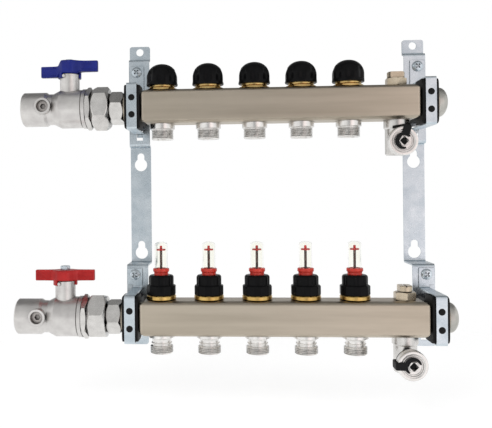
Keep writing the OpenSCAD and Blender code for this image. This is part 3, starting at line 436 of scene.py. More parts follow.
def indicator_finish(disc_bottom):
    """Red above the disc's underside, and a dark stem below it."""
    mat, tree, shader = new_finish("flow_indicator")
    axes = join(tree, "SeparateXYZ", add(tree, "TexCoord").outputs["Object"])
    above = join(tree, "Math", axes.outputs["Z"])
    above.operation = "GREATER_THAN"
    above.inputs[1].default_value = disc_bottom
    grain = noise(tree, 900)
    stem = ramp(tree, grain, [(0.3, srgb(52, 34, 30)), (0.7, srgb(74, 50, 44))])
    disc = ramp(tree, grain, [(0.3, srgb(150, 24, 24)), (0.7, srgb(180, 36, 34))])
    mix = add(tree, "Mix")
    mix.data_type = "RGBA"
    link(tree, above.outputs[0], mix.inputs["Factor"])
    link(tree, stem, mix.inputs["A"])
    link(tree, disc, mix.inputs["B"])
    link(tree, mix.outputs["Result"], shader.inputs["Base Color"])
    link(tree, spread(tree, grain, 0.35, 0.5), shader.inputs["Roughness"])
    return mat


print("materials with the plastics:", len(bpy.data.materials))

# %% [markdown]
# ## Every solid gets its finish
# Single pieces are listed by name. What comes once a bar or once a circuit is listed by its
# family, and a loop writes out the names. Solids that are made anew below get a finish too,
# so that none is bare if its new piece is taken out.

# %% Finishes on the solids
FINISHES = {
    "left_bracket": ZINC, "right_bracket": ZINC, "clamp_straps": ZINC, "clamp_screws": ZINC,
    "clamp_cushions": RUBBER, "end_plugs": DOME, "valve_inserts": GOLD, "meter_bases": BRASS,
    "sight_tubes": CLEAR, "vent_bodies": CREAM, "drain_bodies": NICKEL, "drain_keepers": RUBBER,
    "valve_bodies": CAST, "valve_connectors": NICKEL, "port_plugs": PLUG, "sealing_rings": WHITE,
    "tailpieces": NICKEL, "return_handle": BLUE, "supply_handle": RED}
FAMILIES = {
    "bar": STEEL, "nipples": NICKEL, "handle_nut": ZINC, "stem": ZINC, "ball": NICKEL,
    "union_nut": NICKEL, "vent_knob": CREAM, "drain_cap": NICKEL, "control_cap": BLACK,
    "valve_pin": ZINC, "meter_knob": BLACK, "lock_ring": RED_RING}
for name, family in FAMILIES.items():
    for line in LINES:
        FINISHES[f"{line}_{name}"] = family
    for i in CIRCUITS:
        FINISHES[f"{name}_{i}"] = family
DISC_DROP = 6.0
INDICATOR = indicator_finish(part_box("flow_indicator_1")[1].z - DISC_DROP * MM)
for i in CIRCUITS:
    FINISHES[f"flow_indicator_{i}"] = INDICATOR


def dress(obj, material):
    """Puts one finish on all of an object."""
    obj.data.materials.clear()
    obj.data.materials.append(material)


for name, obj in nodes.items():
    dress(obj, FINISHES[name])
print("finishes:", len(bpy.data.materials))

# %% [markdown]
# ## From a grid of numbers to a piece
# Every new piece is a grid of points that depends on two parameters, such as the angle
# round an axis and the place along a profile. Neighbours in the grid are joined into
# four-sided faces, points that coincide at seams and poles are merged, and the faces are
# turned outward. Sizes from here on are in millimetres, and MM takes them to metres.

# %% Grids and pieces
TURN = 2 * np.pi
SHARP_DEG, MERGE_M = 38, 1e-6


def shell(grid, loop_rows=False):
    """Points and faces of a grid, rows x columns x 3, whose columns close into rings."""
    rows, cols, _ = grid.shape
    r, c = np.meshgrid(np.arange(rows if loop_rows else rows - 1), np.arange(cols), indexing="ij")
    r, c = r.ravel(), c.ravel()
    next_r, next_c = (r + 1) % rows, (c + 1) % cols
    faces = [r * cols + c, r * cols + next_c, next_r * cols + next_c, next_r * cols + c]
    return grid.reshape(-1, 3), np.stack(faces, axis=1)


def repeat(part, offsets):
    """Copies of a shell, one at each offset."""
    points, faces = part
    offsets = np.asarray(offsets, float)
    numbers = np.arange(len(offsets))[:, None, None] * len(points)
    return (offsets[:, None] + points).reshape(-1, 3), (numbers + faces).reshape(-1, 4)


def make_piece(name, shells, body, material, stands_for=()):
    """One object from several shells, riding on a body and hiding the nodes it stands for."""
    starts = np.cumsum([0] + [len(points) for points, _ in shells[:-1]])
    points = np.concatenate([points for points, _ in shells])
    faces = np.concatenate([faces + start for (_, faces), start in zip(shells, starts)])
    mesh = bpy.data.meshes.new(name)
    mesh.from_pydata(points, [], faces)
    bm = bmesh.new()
    bm.from_mesh(mesh)
    bmesh.ops.remove_doubles(bm, verts=bm.verts, dist=MERGE_M)
    bmesh.ops.recalc_face_normals(bm, faces=bm.faces)
    bm.to_mesh(mesh)
    bm.free()
    mesh.shade_smooth()
    mesh.set_sharp_from_angle(angle=np.radians(SHARP_DEG))
    mesh.materials.append(material)
    piece = bpy.data.objects.new(name, mesh)
    bpy.context.scene.collection.objects.link(piece)
    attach(piece, body)
    if stands_for:
        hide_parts(*stands_for)
    print(name, len(mesh.polygons), "faces")
    return piece


print("a grid of 3 rings with 4 points each has", len(shell(np.zeros((3, 4, 3)))[1]), "faces")

# %% [markdown]
# ## Turned profiles and threads
# Most fittings are turned on a lathe, and so are their surfaces here: a profile goes round an
# axis. Threads, grips and hexagons are changes of the radius by angle and height. Blender's
# Screw modifier could turn a profile too, but it knows nothing of such changes.

# %% Profiles and threads


def along(points, step):
    """A polyline with further points, so that none are more than a step apart."""
    points = np.asarray(points, float)
    lengths = np.concatenate([[0], np.cumsum(np.linalg.norm(np.diff(points, axis=0), axis=1))])
    at = np.union1d(np.arange(0, lengths[-1], step), lengths)
    return np.stack([np.interp(at, lengths, axis) for axis in points.T], axis=1)


def quarter(count):
    """Points of a quarter circle of radius one, from the side to the top."""
    turn = np.linspace(0, np.pi / 2, count)
    points = np.stack([np.cos(turn), np.sin(turn)], axis=1)
    points[-1, 0] = 0
    return points


def lathe(profile, columns, shape=None):
    """A profile of (radius, height) turned about Z. The shape changes each radius by the
    turn angle and the height."""
    angle = np.arange(columns)[None] * TURN / columns
    radius, height = profile[:, :1] + 0 * angle, profile[:, 1:] + 0 * angle
    if shape is not None:
        radius = shape(radius, angle, height)
    return np.stack([radius * np.cos(angle), radius * np.sin(angle), height], axis=-1)


def step(x, start, end):
    """A smooth rise from nought at the start to one at the end: 3 t t - 2 t t t for a share t."""
    t = np.clip((x - start) / (end - start), 0, 1)
    return t * t * (3 - 2 * t)


def prism(angle, sides):
    """The radius of a prism with a corner at nought, over its corner's radius: the cosine at
    the corner over the cosine of the angle, both from the middle of the nearest flat."""
    part = TURN / sides
    return np.cos(part / 2) / np.cos(angle % part - part / 2)


def groove(angle, height, pitch):
    """Nought on the crests of a helix and one in its grooves: a triangle wave of the height
    over the pitch plus the turns made, flattened at crest and root."""
    wave = np.abs((height / pitch + angle / TURN) % 1.0 * 2 - 1)
    return 1 - np.clip(1.5 * wave - 0.25, 0, 1)


def thread(depth, pitch, start, end, least_r):
    """Cuts a helix into all that is wider than a least radius. It fades in half a pitch at
    both ends."""
    def cut(radius, angle, height):
        """The radius less the depth times the groove, times the fade."""
        fade = np.clip(np.minimum(height - start, end - height) / (pitch / 2), 0, 1)
        return radius - depth * groove(angle, height, pitch) * fade * (radius > least_r)
    return cut


print("groove at crest and root:", groove(0.0, np.array([0.0, 0.5]), 1.0))

# %% [markdown]
# ## Places from the frame
# The bars' boxes give their axes, and the record's mounts give the ports along them. So the
# pieces follow if the solids are packed again with other sizes.

# %% Places


def centre(node):
    """The middle of a node's box."""
    return np.mean(np.array(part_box(node)), axis=0)


def bar_axis(line):
    """Depth and height of a bar's axis."""
    return centre(f"{line}_bar")[1:]


def ports(line):
    """The five places where a bar's axis meets the axes of its ports."""
    mounts = {m["name"]: m["pos_m"] for m in frame["record"]["mounts"]}
    return np.array([(mounts[f"{line}_outlet_{i}"][0], *bar_axis(line)) for i in CIRCUITS])


print("ports at x", np.round(ports("return")[:, 0], 4), "m")

# %% [markdown]
# ## Bars with pressed ends
# A bar is a square tube whose ends are pressed in to a round neck. The solids round all the
# edges of an end alike, but seen from the front the corners have a large radius, and the edge
# between front and end has a small one. A bevel would round both alike too, so here the
# solid's own points are moved. At the share s of a rounding, from nought where it starts to
# one at the end, a section's half size is the bar's half size, less the radius, plus the
# radius times the root of 1 - s * s. Each point of the old rounding moves to the same share
# of the new ones. Points on the neck stay on it, and only slide along to the new surface.

# %% Bar ends
BAR_HALF, BAR_REACH, PIPE_R, OLD_END_R, CORNER_R, EDGE_R = 20.0, 162.0, 17.0, 5.0, 10.0, 3.5


def triangles(obj):
    """Points in metres and triangles of a solid."""
    mesh = obj.data
    mesh.calc_loop_triangles()
    points = np.empty(3 * len(mesh.vertices), np.float32)
    mesh.vertices.foreach_get("co", points)
    corners = np.empty(3 * len(mesh.loop_triangles), np.int32)
    mesh.loop_triangles.foreach_get("vertices", corners)
    return points.reshape(-1, 3).astype(float), corners.reshape(-1, 3)


def rise(share):
    """The root of 1 - s * s, for a share between nought and one."""
    return np.sqrt(1 - np.clip(share, 0, 1) ** 2)


def half_size(share, radius):
    """Half the size of a section at a share of the rounding."""
    return BAR_HALF - radius + radius * rise(share)


def end_reach(distance, radius):
    """How far along X a rounding reaches at a distance from the bar's axis."""
    return BAR_REACH - radius + radius * rise((distance - BAR_HALF + radius) / radius)


def pressed_bar(line):
    """The bar's own surface, with other roundings at both ends."""
    points, faces = triangles(nodes[f"{line}_bar"])
    middle = np.array([0, *bar_axis(line)])
    p = (points - middle) / MM
    away, out = np.abs(p[:, 0]), np.hypot(p[:, 1], p[:, 2])
    deep, high = np.abs(p[:, 1:]).T
    end = (away > BAR_REACH - OLD_END_R - 0.01) & (away < BAR_REACH + 0.01)
    on_neck = end & (np.abs(out - PIPE_R) < 0.05)
    rim = end & (out > PIPE_R + 0.05)
    share = np.clip((away - BAR_REACH + OLD_END_R) / OLD_END_R, 0, 1)
    new = BAR_REACH - CORNER_R + CORNER_R * share
    old_size = half_size(share, OLD_END_R)
    p[:, 1] *= np.where(rim, half_size((new - BAR_REACH + EDGE_R) / EDGE_R, EDGE_R) / old_size, 1.0)
    p[:, 2] *= np.where(rim, half_size(share, CORNER_R) / old_size, 1.0)
    meeting = np.minimum(end_reach(high, CORNER_R), end_reach(deep, EDGE_R))
    p[:, 0] = np.sign(p[:, 0]) * np.where(rim, new, np.where(on_neck, meeting, away))
    return p * MM + middle, faces


for line in LINES:
    make_piece(f"{line}_bar_shell", [pressed_bar(line)], "manifold", STEEL, [f"{line}_bar"])

# %% [markdown]
# ## Outlet nipples with their threads
# The pipes of the heating circuits are screwed to these. The profile of a nipple is a closed
# loop: down its outside from the spigot in the bar, round the conical mouth, and up the bore.
# On the return bar the thread follows the collar at once, and on the supply bar a slim neck
# with a bead comes first. A thread in the bump map would leave the edge straight, so it is
# cut into the radius, where the rows of points lie close together.

# %% Nipples
OUTLET_R, BORE_R, COLLAR_R, MOUTH_R = 13.2, 7.5, 14.8, 10.2
THREAD_PITCH, THREAD_DEPTH, THREAD_LEAST_R = 1.81, 0.95, 12.0
THREAD_ROW, PLAIN_STEP = 0.22, 6
RETURN_THREAD, SUPPLY_THREAD = (-18.4, -7.4), (-21.0, -12.8)
RETURN_NIPPLE = [
    (BORE_R, 9.5), (10.0, 9.5), (10.0, 3.5), (10.9, 3.5), (10.9, 0.0), (COLLAR_R, 0.0),
    (COLLAR_R, -6.2), (OUTLET_R, -7.0), (OUTLET_R, -18.0), (OUTLET_R - 1, -19.0),
    (MOUTH_R, -19.0), (BORE_R, -13.0), (BORE_R, 9.5)]
SUPPLY_NIPPLE = [
    (BORE_R, 3.5), (10.9, 3.5), (10.9, 0.0), (COLLAR_R, 0.0), (COLLAR_R, -3.2), (11.4, -4.6),
    (11.0, -5.4), (11.0, -8.4), (11.9, -9.0), (11.9, -10.0), (11.0, -10.6), (11.0, -12.0),
    (OUTLET_R, -13.0), (OUTLET_R, -20.5), (OUTLET_R - 1, -21.5), (MOUTH_R, -21.5),
    (BORE_R, -15.5), (BORE_R, 3.5)]


def thread_rows(profile, start, end):
    """Points of a profile: close together on the thread, wider apart elsewhere, with all its
    corners."""
    fine = along(profile, THREAD_ROW)[:-1]
    radius, height = fine.T
    keep = (radius > THREAD_LEAST_R) & (height > start - 0.5) & (height < end + 0.5)
    keep |= np.min(np.linalg.norm(fine[:, None] - np.array(profile), axis=2), axis=1) < 0.001
    keep[::PLAIN_STEP] = True
    return fine[keep]


def nipples(line, profile, start, end):
    """Five nipples of one bar, with the thread between two heights under the bar."""
    cut = thread(THREAD_DEPTH * MM, THREAD_PITCH * MM, start * MM, end * MM, THREAD_LEAST_R * MM)
    part = shell(lathe(thread_rows(profile, start, end) * MM, 80, cut), loop_rows=True)
    offsets = ports(line) - [0, 0, BAR_HALF * MM]
    make_piece(f"{line}_nipple_threads", [repeat(part, offsets)], "manifold", BRIGHT,
               [f"{line}_nipples"])


nipples("return", RETURN_NIPPLE, *RETURN_THREAD)
nipples("supply", SUPPLY_NIPPLE, *SUPPLY_THREAD)

# %% [markdown]
# ## Hand caps
# A cap closes one circuit by hand. It is a dome with eight soft hollows for the fingers,
# which deepen from nothing at the skirt to their full depth on the shoulder and fade out
# again near the crown. Sculpting would never make eight alike, and a wave of the angle does.

# %% Hand caps
CAP_R, CAP_GRIPS, CAP_HOLLOW = 18.75, 8, 1.3
CAP_BASE, CAP_SIDE, CAP_TOP, CAP_CEILING, CAP_INSIDE_R = 25.4, 34.4, 51.9, 41.9, 15.4
CAP_SKIRT = (CAP_BASE + 2.0, CAP_BASE + 5.0)


def cap_profile():
    """From the middle of the ceiling down the inside, round the rim and over the dome."""
    side, top = quarter(40).T
    dome = np.stack([CAP_R * side ** 0.9, CAP_SIDE + (CAP_TOP - CAP_SIDE) * top], axis=1)
    rim = [(0, CAP_CEILING), (CAP_INSIDE_R, CAP_CEILING), (CAP_INSIDE_R, CAP_BASE),
           (CAP_R - 1.0, CAP_BASE), (CAP_R - 0.3, CAP_BASE + 0.3), (CAP_R, CAP_BASE + 1.0)]
    return along(np.concatenate([rim, dome]), 0.9) * MM


def finger_hollows(radius, angle, height):
    """Takes off the radius the hollow's depth, times a rounded wave of the angle, times a
    weight that rises over the skirt and falls towards the crown."""
    wave = (0.5 + 0.5 * np.cos(CAP_GRIPS * angle)) ** 1.5
    weight = step(height / MM, *CAP_SKIRT) * (radius > (CAP_INSIDE_R + 0.1) * MM)
    crown = np.clip((radius / MM - CAP_INSIDE_R) / 2.0, 0, 1)
    return radius - CAP_HOLLOW * MM * wave * weight * crown


cap = lathe(cap_profile(), 96, finger_hollows)
for i, place in zip(CIRCUITS, ports("return")):
    make_piece(f"cap_dome_{i}", [repeat(shell(cap), [place])], f"cap_{i}", BLACK,
               [f"control_cap_{i}"])

# %% [markdown]
# ## Flow meter knobs
# A knob sets the flow of one circuit. Its skirt is a twelve-sided prism, and the crown above
# it is round with shallow flutes and a well rounded upper edge. Both are one turned profile, so
# skirt and crown stay one closed skin. A prism and a cylinder joined would leave a seam.

# %% Meter knobs
KNOB_SIDES, KNOB_LOW_R, KNOB_TOP_R = 12, 17.0, 14.4
KNOB_BASE, KNOB_STEP, KNOB_TOP, SLEEVE_R, STEM_R = 25.9, 36.9, 48.4, 8.6, 10.05
KNOB_LID, KNOB_EDGE_R, FLUTE_SHARE = 46.2, 3.0, 0.028
KNOB_PROFILE = np.concatenate([
    [(SLEEVE_R, KNOB_LID), (STEM_R, KNOB_LID), (STEM_R, KNOB_BASE), (KNOB_LOW_R - 0.6, KNOB_BASE),
     (KNOB_LOW_R, KNOB_BASE + 0.6), (KNOB_LOW_R, KNOB_STEP - 1.4), (KNOB_LOW_R - 0.5, KNOB_STEP - 0.4),
     (KNOB_TOP_R + 0.5, KNOB_STEP), (KNOB_TOP_R, KNOB_STEP + 0.6)],
    KNOB_EDGE_R * (quarter(8) - 1) + (KNOB_TOP_R, KNOB_TOP),
    [(SLEEVE_R, KNOB_TOP)]])


def knob_sides(radius, angle, height):
    """Flats on the skirt and flutes on the crown. The bore stays round."""
    flat = prism(angle + np.pi / KNOB_SIDES, KNOB_SIDES)
    flute = 1 - FLUTE_SHARE * (0.5 + 0.5 * np.cos(KNOB_SIDES * angle)) ** 3
    outside = radius > (STEM_R + 0.95) * MM
    return radius * np.where(outside, np.where(height < KNOB_STEP * MM, flat, flute), 1.0)


knob = lathe(along(KNOB_PROFILE, 0.8) * MM, 144, knob_sides)
for i, place in zip(CIRCUITS, ports("supply")):
    make_piece(f"knob_grip_{i}", [repeat(shell(knob, loop_rows=True), [place])], f"knob_{i}",
               BLACK, [f"meter_knob_{i}"])

# %% [markdown]
# ## Clamp cushions
# A moulded rubber block keeps each bar's neck from touching the steel. It goes round the
# neck: along each ray from the neck's axis it reaches from the bore to the further of two
# rounded boxes, one under the strap and one for the foot. A rounded box is a superellipse:
# the sum of the high powers of the two coordinates, each over its half size, is one. Ribs
# stand up on both sides of the strap, and two buttons of rubber stand in the strap's holes.
# Rubber this firm keeps its moulded shape, so no cloth has to be simulated.

# %% Clamp cushions
CUSHION_HALF, STRAP_HALF, NECK_R = 9.0, 6.0, 17.1
CUSHION_FRONT, CUSHION_RISE, CUSHION_BACK, FOOT_HALF = 22.4, 25.9, 47.9, 19.9
BLOCK_BACK, BLOCK_POWER, FOOT_POWER = 10.5, 9, 12
STRAP_GAP, STRAP_SINK, CUSHION_WALL = 0.5, 0.6, 26.0


def reach(angle, half_out, half_up, power):
    """Distance from the middle to a superellipse, along the ray at an angle."""
    out, up = np.abs(np.cos(angle)) / half_out, np.abs(np.sin(angle)) / half_up
    return (out ** power + up ** power) ** (-1 / power)


def cushion_grid(columns=160):
    """Rows go round the section of the band, columns round the neck. The section gives a
    place along X and a share of the way from the neck to the outside."""
    angle = np.arange(columns) * TURN / columns
    front = np.cos(angle) > 0
    block_out = np.where(front, CUSHION_FRONT, BLOCK_BACK)
    block = reach(angle, block_out, CUSHION_RISE, BLOCK_POWER)
    foot = np.where(front, 0, reach(angle, CUSHION_BACK, FOOT_HALF, FOOT_POWER))
    outer = np.maximum(block, foot)
    half, lip, low = CUSHION_HALF, STRAP_HALF + STRAP_GAP, 1.0 - STRAP_SINK / CUSHION_WALL
    section = along([
        (-half, 0.0), (-half, 0.96), (-half + 0.4, 1.0), (-lip, 1.0), (-lip, low), (lip, low),
        (lip, 1.0), (half - 0.4, 1.0), (half, 0.96), (half, 0.0), (-half, 0.0)], 0.6)[:-1]
    x = section[:, :1] + 0 * angle
    radius = NECK_R + (outer - NECK_R) * section[:, 1:]
    return np.stack([x, -radius * np.cos(angle), radius * np.sin(angle)], axis=-1) * MM


def clamp_places():
    """The middles of the four clamps, on the bars' axes."""
    sides = [centre(f"{side}_bracket")[0] for side in ("left", "right")]
    return [(x, *bar_axis(line)) for line in LINES for x in sides]


STRAP_FRONT, STUD_OFF, STUD_R, STUD_RISE = 24.0, 10.0, 3.8, 0.9


def towards_viewer(part, place):
    """Takes a shell from millimetres about Z to metres about an axis that faces the viewer."""
    points, faces = part
    x, y, z = points.T * MM
    return np.stack([x, -z, y], axis=1) + place, faces


def stud():
    """A rubber button through a hole of the strap, with a domed head."""
    head = quarter(9) * (STUD_R, STUD_RISE) + (0, 0.05)
    return shell(lathe(np.concatenate([[(0, -2.5), (2.5, -2.5), (2.5, 0.05)], head]), 40))


studs = [towards_viewer(stud(), np.array(place) + np.array([0, -STRAP_FRONT, off]) * MM)
         for place in clamp_places() for off in (-STUD_OFF, STUD_OFF)]
make_piece("rubber_cushions", [repeat(shell(cushion_grid(), loop_rows=True), clamp_places())] + studs,
           "manifold", RUBBER, ["clamp_cushions"])

# %% [markdown]
# ## Straps along a path
# A strap is a flat section that is carried along a path. The section is a superellipse, and
# the path is a bent line whose corners are rounded by averaging neighbours. A curve with a
# bevel would make a round cord of it, and would twist where the path turns back.

# %% Swept straps
UP = np.array([0, 0, 1.0])


def smoothed(points, passes):
    """Each inner point moves half-way to the mean of its neighbours, over and over."""
    points = points.copy()
    for _ in range(passes):
        points[1:-1] = points[1:-1] / 2 + (points[:-2] + points[2:]) / 4
    return points


def superellipse(columns, width, height, power):
    """Points of a flat rounded section: powers of the cosine and the sine, with their signs."""
    turn = np.arange(columns) * TURN / columns
    circle = np.stack([np.cos(turn), np.sin(turn)])
    across, up = np.sign(circle) * np.abs(circle) ** (2 / power)
    return across * width / 2, up * height / 2


def sweep(path, across, width, thick, columns=28, power=4, sizes=1.0):
    """A strap along a path: superellipse sections whose ends close to a point. The width
    lies along one direction, and the sizes scale the sections."""
    size = np.pad(sizes * np.ones(len(path)), 1)[:, None, None]
    path = np.concatenate([path[:1], path, path[-1:]])
    tangent = np.gradient(path, axis=0)
    tangent[:2], tangent[-2:] = tangent[2], tangent[-3]
    over = np.cross(tangent, across)
    over /= np.linalg.norm(over, axis=1, keepdims=True)
    a, b = superellipse(columns, width, thick, power)
    return path[:, None] + size * (a[:, None] * across + b[:, None] * over[:, None])


def arc(radius, start, end, count, height):
    """Points at a height on an arc about Z, between two angles in degrees."""
    turn = np.radians(np.linspace(start, end, count))
    return np.stack([radius * np.cos(turn), radius * np.sin(turn), height + 0 * turn], axis=1)


def ring(radius, height, wide, thick, columns=96):
    """A flat ring about Z, with a superellipse section."""
    a, b = superellipse(28, wide, thick, 4)
    return shell(lathe(np.stack([radius + a, height + b], axis=1), columns), loop_rows=True)


print("first points of a section:", np.round(superellipse(8, 2, 2, 4), 2)[:, :3].T.tolist())

# %% [markdown]
# ## Keeper straps
# A keeper holds the drain's cap when it is off. It is a rubber strap from an eye round the
# cap's boss, over the cap's rim. The upper one ends in a band round the drain's collar, the
# lower one in a ring round the spout. Eye, strap and loop are each swept on their own path,
# because one path through all three would cross itself.

# %% Keeper straps
DRAIN_FRONT, KEEPER_W, KEEPER_T = 37.3, 8.4, 2.0
EYE_R, EYE_W, BAND_R, BAND_H, LEG_R = 7.9, 4.0, 15.6, 5.0, 17.9
EYE_OPEN = {"return": (35, 285), "supply": (15, 240)}
KEEPER_TURN = {"return": 75, "supply": 180}
BAND_ARC, BAND_T = (130, -118), 1.4
SLIM_BAND_R, SLIM_BAND_H, BAND_SLOPE = 15.3, 3.2, 0.16
SPOUT_RING_R, SPOUT_RING_W, SPOUT_RING_AT = 13.1, 4.0, 20.5


def outlet(line):
    """The middle of a drain's outlet, on the drain's axis."""
    x, _, z = centre(f"{line}_drain_cap")
    return np.array([x, bar_axis(line)[0], z])


def eye(line):
    """An open ring round the boss, thinner towards its tips."""
    path = arc(EYE_R, *EYE_OPEN[line], 60, DRAIN_FRONT)
    sizes = 0.35 + 0.65 * np.sin(np.linspace(0, np.pi, 60)) ** 0.6
    return shell(sweep(path, UP, KEEPER_T, EYE_W, sizes=sizes))


def keeper(line):
    """Strap and eye of one keeper, and the supply keeper's ring round the spout."""
    turn = np.radians(KEEPER_TURN[line])
    out = np.array([np.cos(turn), np.sin(turn), 0])
    side = np.array([-np.sin(turn), np.cos(turn), 0])
    front = np.array([0, 0, DRAIN_FRONT])
    back = np.array([0, 0, BAND_R if line == "return" else SPOUT_RING_AT])
    bends = [out * EYE_R + front, out * LEG_R + front, out * LEG_R + back]
    loops = []
    if line == "supply":
        bends.append(out * SPOUT_RING_R + back)
        loops.append(ring(SPOUT_RING_R, SPOUT_RING_AT, SPOUT_RING_W, BAND_H))
    strap = shell(sweep(smoothed(along(bends, 0.5), 12), side, KEEPER_W, KEEPER_T))
    return [towards_viewer(part, outlet(line)) for part in [strap, eye(line)] + loops]


def collar_band():
    """The return keeper's band round the drain's collar. It rises a little to the right."""
    path = arc(SLIM_BAND_R, *BAND_ARC, 70, LEG_R - KEEPER_T / 2 + SLIM_BAND_H / 2)
    points, faces = shell(sweep(path, UP, SLIM_BAND_H, BAND_T))
    points[:, 2] += BAND_SLOPE * points[:, 0]
    return points * MM + outlet("return"), faces


make_piece("keeper_straps", keeper("return") + [collar_band()] + keeper("supply"), "manifold",
           RUBBER, ["drain_keepers"])

# %% [markdown]
# ## Drain caps
# A cap closes a drain cock and is also the key that opens it. It is turned about the outlet's
# axis. Its side has fine flutes, two beads stand on its face, and its boss is a hexagon with a
# square key hole, a superellipse of the sixth power. A black disc lies in the hole as painted
# shade, dark where the hole's depth would be shaded. Cuts with solids would work as well, but
# a radius that depends on angle and height keeps the cap one clean grid.

# %% Drain caps
DRAIN_CAP_R, BOSS_R, KEY_R, KEY_FLOOR = 16.5, 5.77, 3.8, 34.4
FLUTES, FLUTE_DEPTH, FLUTE_FROM, FLUTE_TO = 64, 0.018, 26.2, 33.8
BEAD_RADII, BEAD_AT, BEAD_W, SHADE_DISC_T, KEY_POWER = (9.6, 11.4), 35.75, 0.8, 0.8, 6
DRAIN_CAP = [
    (0, 32.3), (9.9, 32.3), (9.9, 24.4), (15.0, 24.4), (16.0, 24.7), (DRAIN_CAP_R, 25.6),
    (DRAIN_CAP_R, 34.2), (16.1, 35.3), (15.2, 35.9), (13.4, 35.9), (12.6, 35.3), (BOSS_R, 35.2),
    (BOSS_R, 38.4), (5.3, 38.9), (KEY_R, 38.9), (KEY_R, KEY_FLOOR), (0, KEY_FLOOR)]


def drain_cap_shape(radius, angle, height):
    """Flutes on the side, a hexagon for the boss and a square for the key hole."""
    radius, height = radius / MM, height / MM
    side = (radius > DRAIN_CAP_R - 0.1) & (height > FLUTE_FROM) & (height < FLUTE_TO)
    flute = 1 - FLUTE_DEPTH * (0.5 + 0.5 * np.cos(FLUTES * angle))
    six, square = prism(angle, 6), reach(angle + np.pi / 4, 1, 1, KEY_POWER)
    weight = np.clip((radius - KEY_R) / 1.2, 0, 1)
    on_boss = (radius < BOSS_R + 0.1) & (height > KEY_FLOOR - 0.4)
    boss = np.where(on_boss, square ** (1 - weight) * six ** weight, 1.0)
    return radius * MM * np.where(side, flute, boss)


def key_hole_shade():
    """A round dark disc of painted shade, let in a little under the key hole's floor."""
    shade_r, shade_low = KEY_R - 0.2, KEY_FLOOR - 0.2
    profile = [(0, shade_low), (shade_r, shade_low), (shade_r, shade_low + SHADE_DISC_T), (0, shade_low + SHADE_DISC_T)]
    return shell(lathe(np.array(profile), 48))


points, faces = shell(lathe(along(DRAIN_CAP, 0.8) * MM, 192, drain_cap_shape))
beads = [ring(radius, BEAD_AT, BEAD_W, BEAD_W, 120) for radius in BEAD_RADII]
cap_parts = [(points / MM, faces)] + beads
for line in LINES:
    make_piece(f"{line}_cap_shell", [towards_viewer(part, outlet(line)) for part in cap_parts],
               f"{line}_drain", BRIGHT, [f"{line}_drain_cap"])
    # Painted shade: a black disc in each key hole stands for the shade deep in the hole.
    make_piece(f"{line}_key_hole_shade", [towards_viewer(key_hole_shade(), outlet(line))], f"{line}_drain",
               RUBBER)

# %% [markdown]
# ## Butterfly handles
# The handles turn the balls in the valves: blue for the return, red for the supply. A handle
# is a row of superellipse sections along X. Its half thickness is that of a wing plus a
# swelling at the hub, which falls off with the fourth power of the distance. Its upper and
# lower edges are levels that change over smooth steps: the blue handle's left wing lies lower
# than its right one. A part ring under the hub is the stop skirt. Boxes joined by a bevel
# would show their seams where wing and hub flow into each other.

# %% Handles
HANDLE_REACH, WING_T, HUB_SWELL, HUB_REACH = 35.0, 6.2, 10.8, 11.0
SKIRT_R, SKIRT_T, SKIRT_H, SKIRT_ARC = 13.05, 1.8, 5.0, (-8.7, 238.7)
HUB_H = {"return": 16.5, "supply": 12.5}
WING_H = {"return": 13.5, "supply": 12.5}
WING_DROP = 6.5
TOP_STEP, LEFT_STEP, RIGHT_STEP = (-14.0, -8.0), (-15.0, -11.0), (9.0, 14.5)
TIP_R, BLADE_POWER = 1.5, 7


def half_thickness(x):
    """Half the thickness of a handle at a distance from its turning axis."""
    return WING_T / 2 + HUB_SWELL / (1 + (x / HUB_REACH) ** 4)


def edges(line, x):
    """Upper and lower edge of a handle, under the top of its hub."""
    if line == "supply":
        return 0 * x, 0 * x - HUB_H[line]
    upper = -WING_DROP * (1 - step(x, *TOP_STEP))
    left, hub, right = -WING_DROP - WING_H[line], -HUB_H[line], -WING_H[line]
    lower = left + (hub - left) * step(x, *LEFT_STEP) + (right - hub) * step(x, *RIGHT_STEP)
    return upper, lower


def handle_top(line):
    """The middle of the hub's top."""
    x, y, _ = centre(f"{line}_handle")
    return np.array([x, y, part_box(f"{line}_handle")[1].z])


def blade(line, columns=48):
    """Sections along X, rounded off and closed at both tips."""
    x = np.linspace(-HANDLE_REACH, HANDLE_REACH, 137)
    tip = rise((np.abs(x) - HANDLE_REACH + TIP_R) / TIP_R)
    upper, lower = edges(line, x)
    inset, inside = TIP_R * (1 - tip), tip > 0
    middle = (upper + lower) / 2
    half = ((upper - lower) / 2 - inset) * inside
    thick = (half_thickness(x) - inset) * inside
    up, out = superellipse(columns, 2, 2, BLADE_POWER)
    grid = [x[:, None] + 0 * up, thick[:, None] * out, middle[:, None] + half[:, None] * up]
    return np.stack(grid, axis=-1) * MM


def skirt(line):
    """A part ring under the hub, open where the stop lug of the bonnet has its way."""
    path = arc(SKIRT_R, *SKIRT_ARC, 72, -HUB_H[line] - SKIRT_H / 2 + 1.0) * MM
    return sweep(path, UP, (SKIRT_H + 2.0) * MM, SKIRT_T * MM, 28, 10)


def ridges(side, heights, start=16.0, end=33.0, width=0.9, stand=0.4):
    """Level ridges on the front and the back of a wing, at heights under the hub's top."""
    x = np.linspace(start, end, 24)
    parts = []
    for face in (-1, 1):
        path = np.stack([side * x, face * half_thickness(x), 0 * x], axis=1) * MM
        bar = shell(sweep(path, UP, width * MM, 2 * stand * MM, 16, 3))
        parts.append(repeat(bar, [(0, 0, -drop * MM) for drop in heights]))
    return parts


SUPPLY_RIDGES = np.linspace(2.2, 10.3, 6)
GRIPS = {"return": ridges(1, [10.6]) + ridges(-1, [9.2, 17.4]),
         "supply": ridges(-1, SUPPLY_RIDGES) + ridges(1, SUPPLY_RIDGES)}
for line, coat, slot in (("return", BLUE, "blue_plastic"), ("supply", RED, "red_plastic")):
    parts = [shell(blade(line)), shell(skirt(line))] + GRIPS[line]
    make_piece(f"{line}_blade", [repeat(part, [handle_top(line)]) for part in parts], f"{line}_valve",
               coat, [f"{line}_handle"])

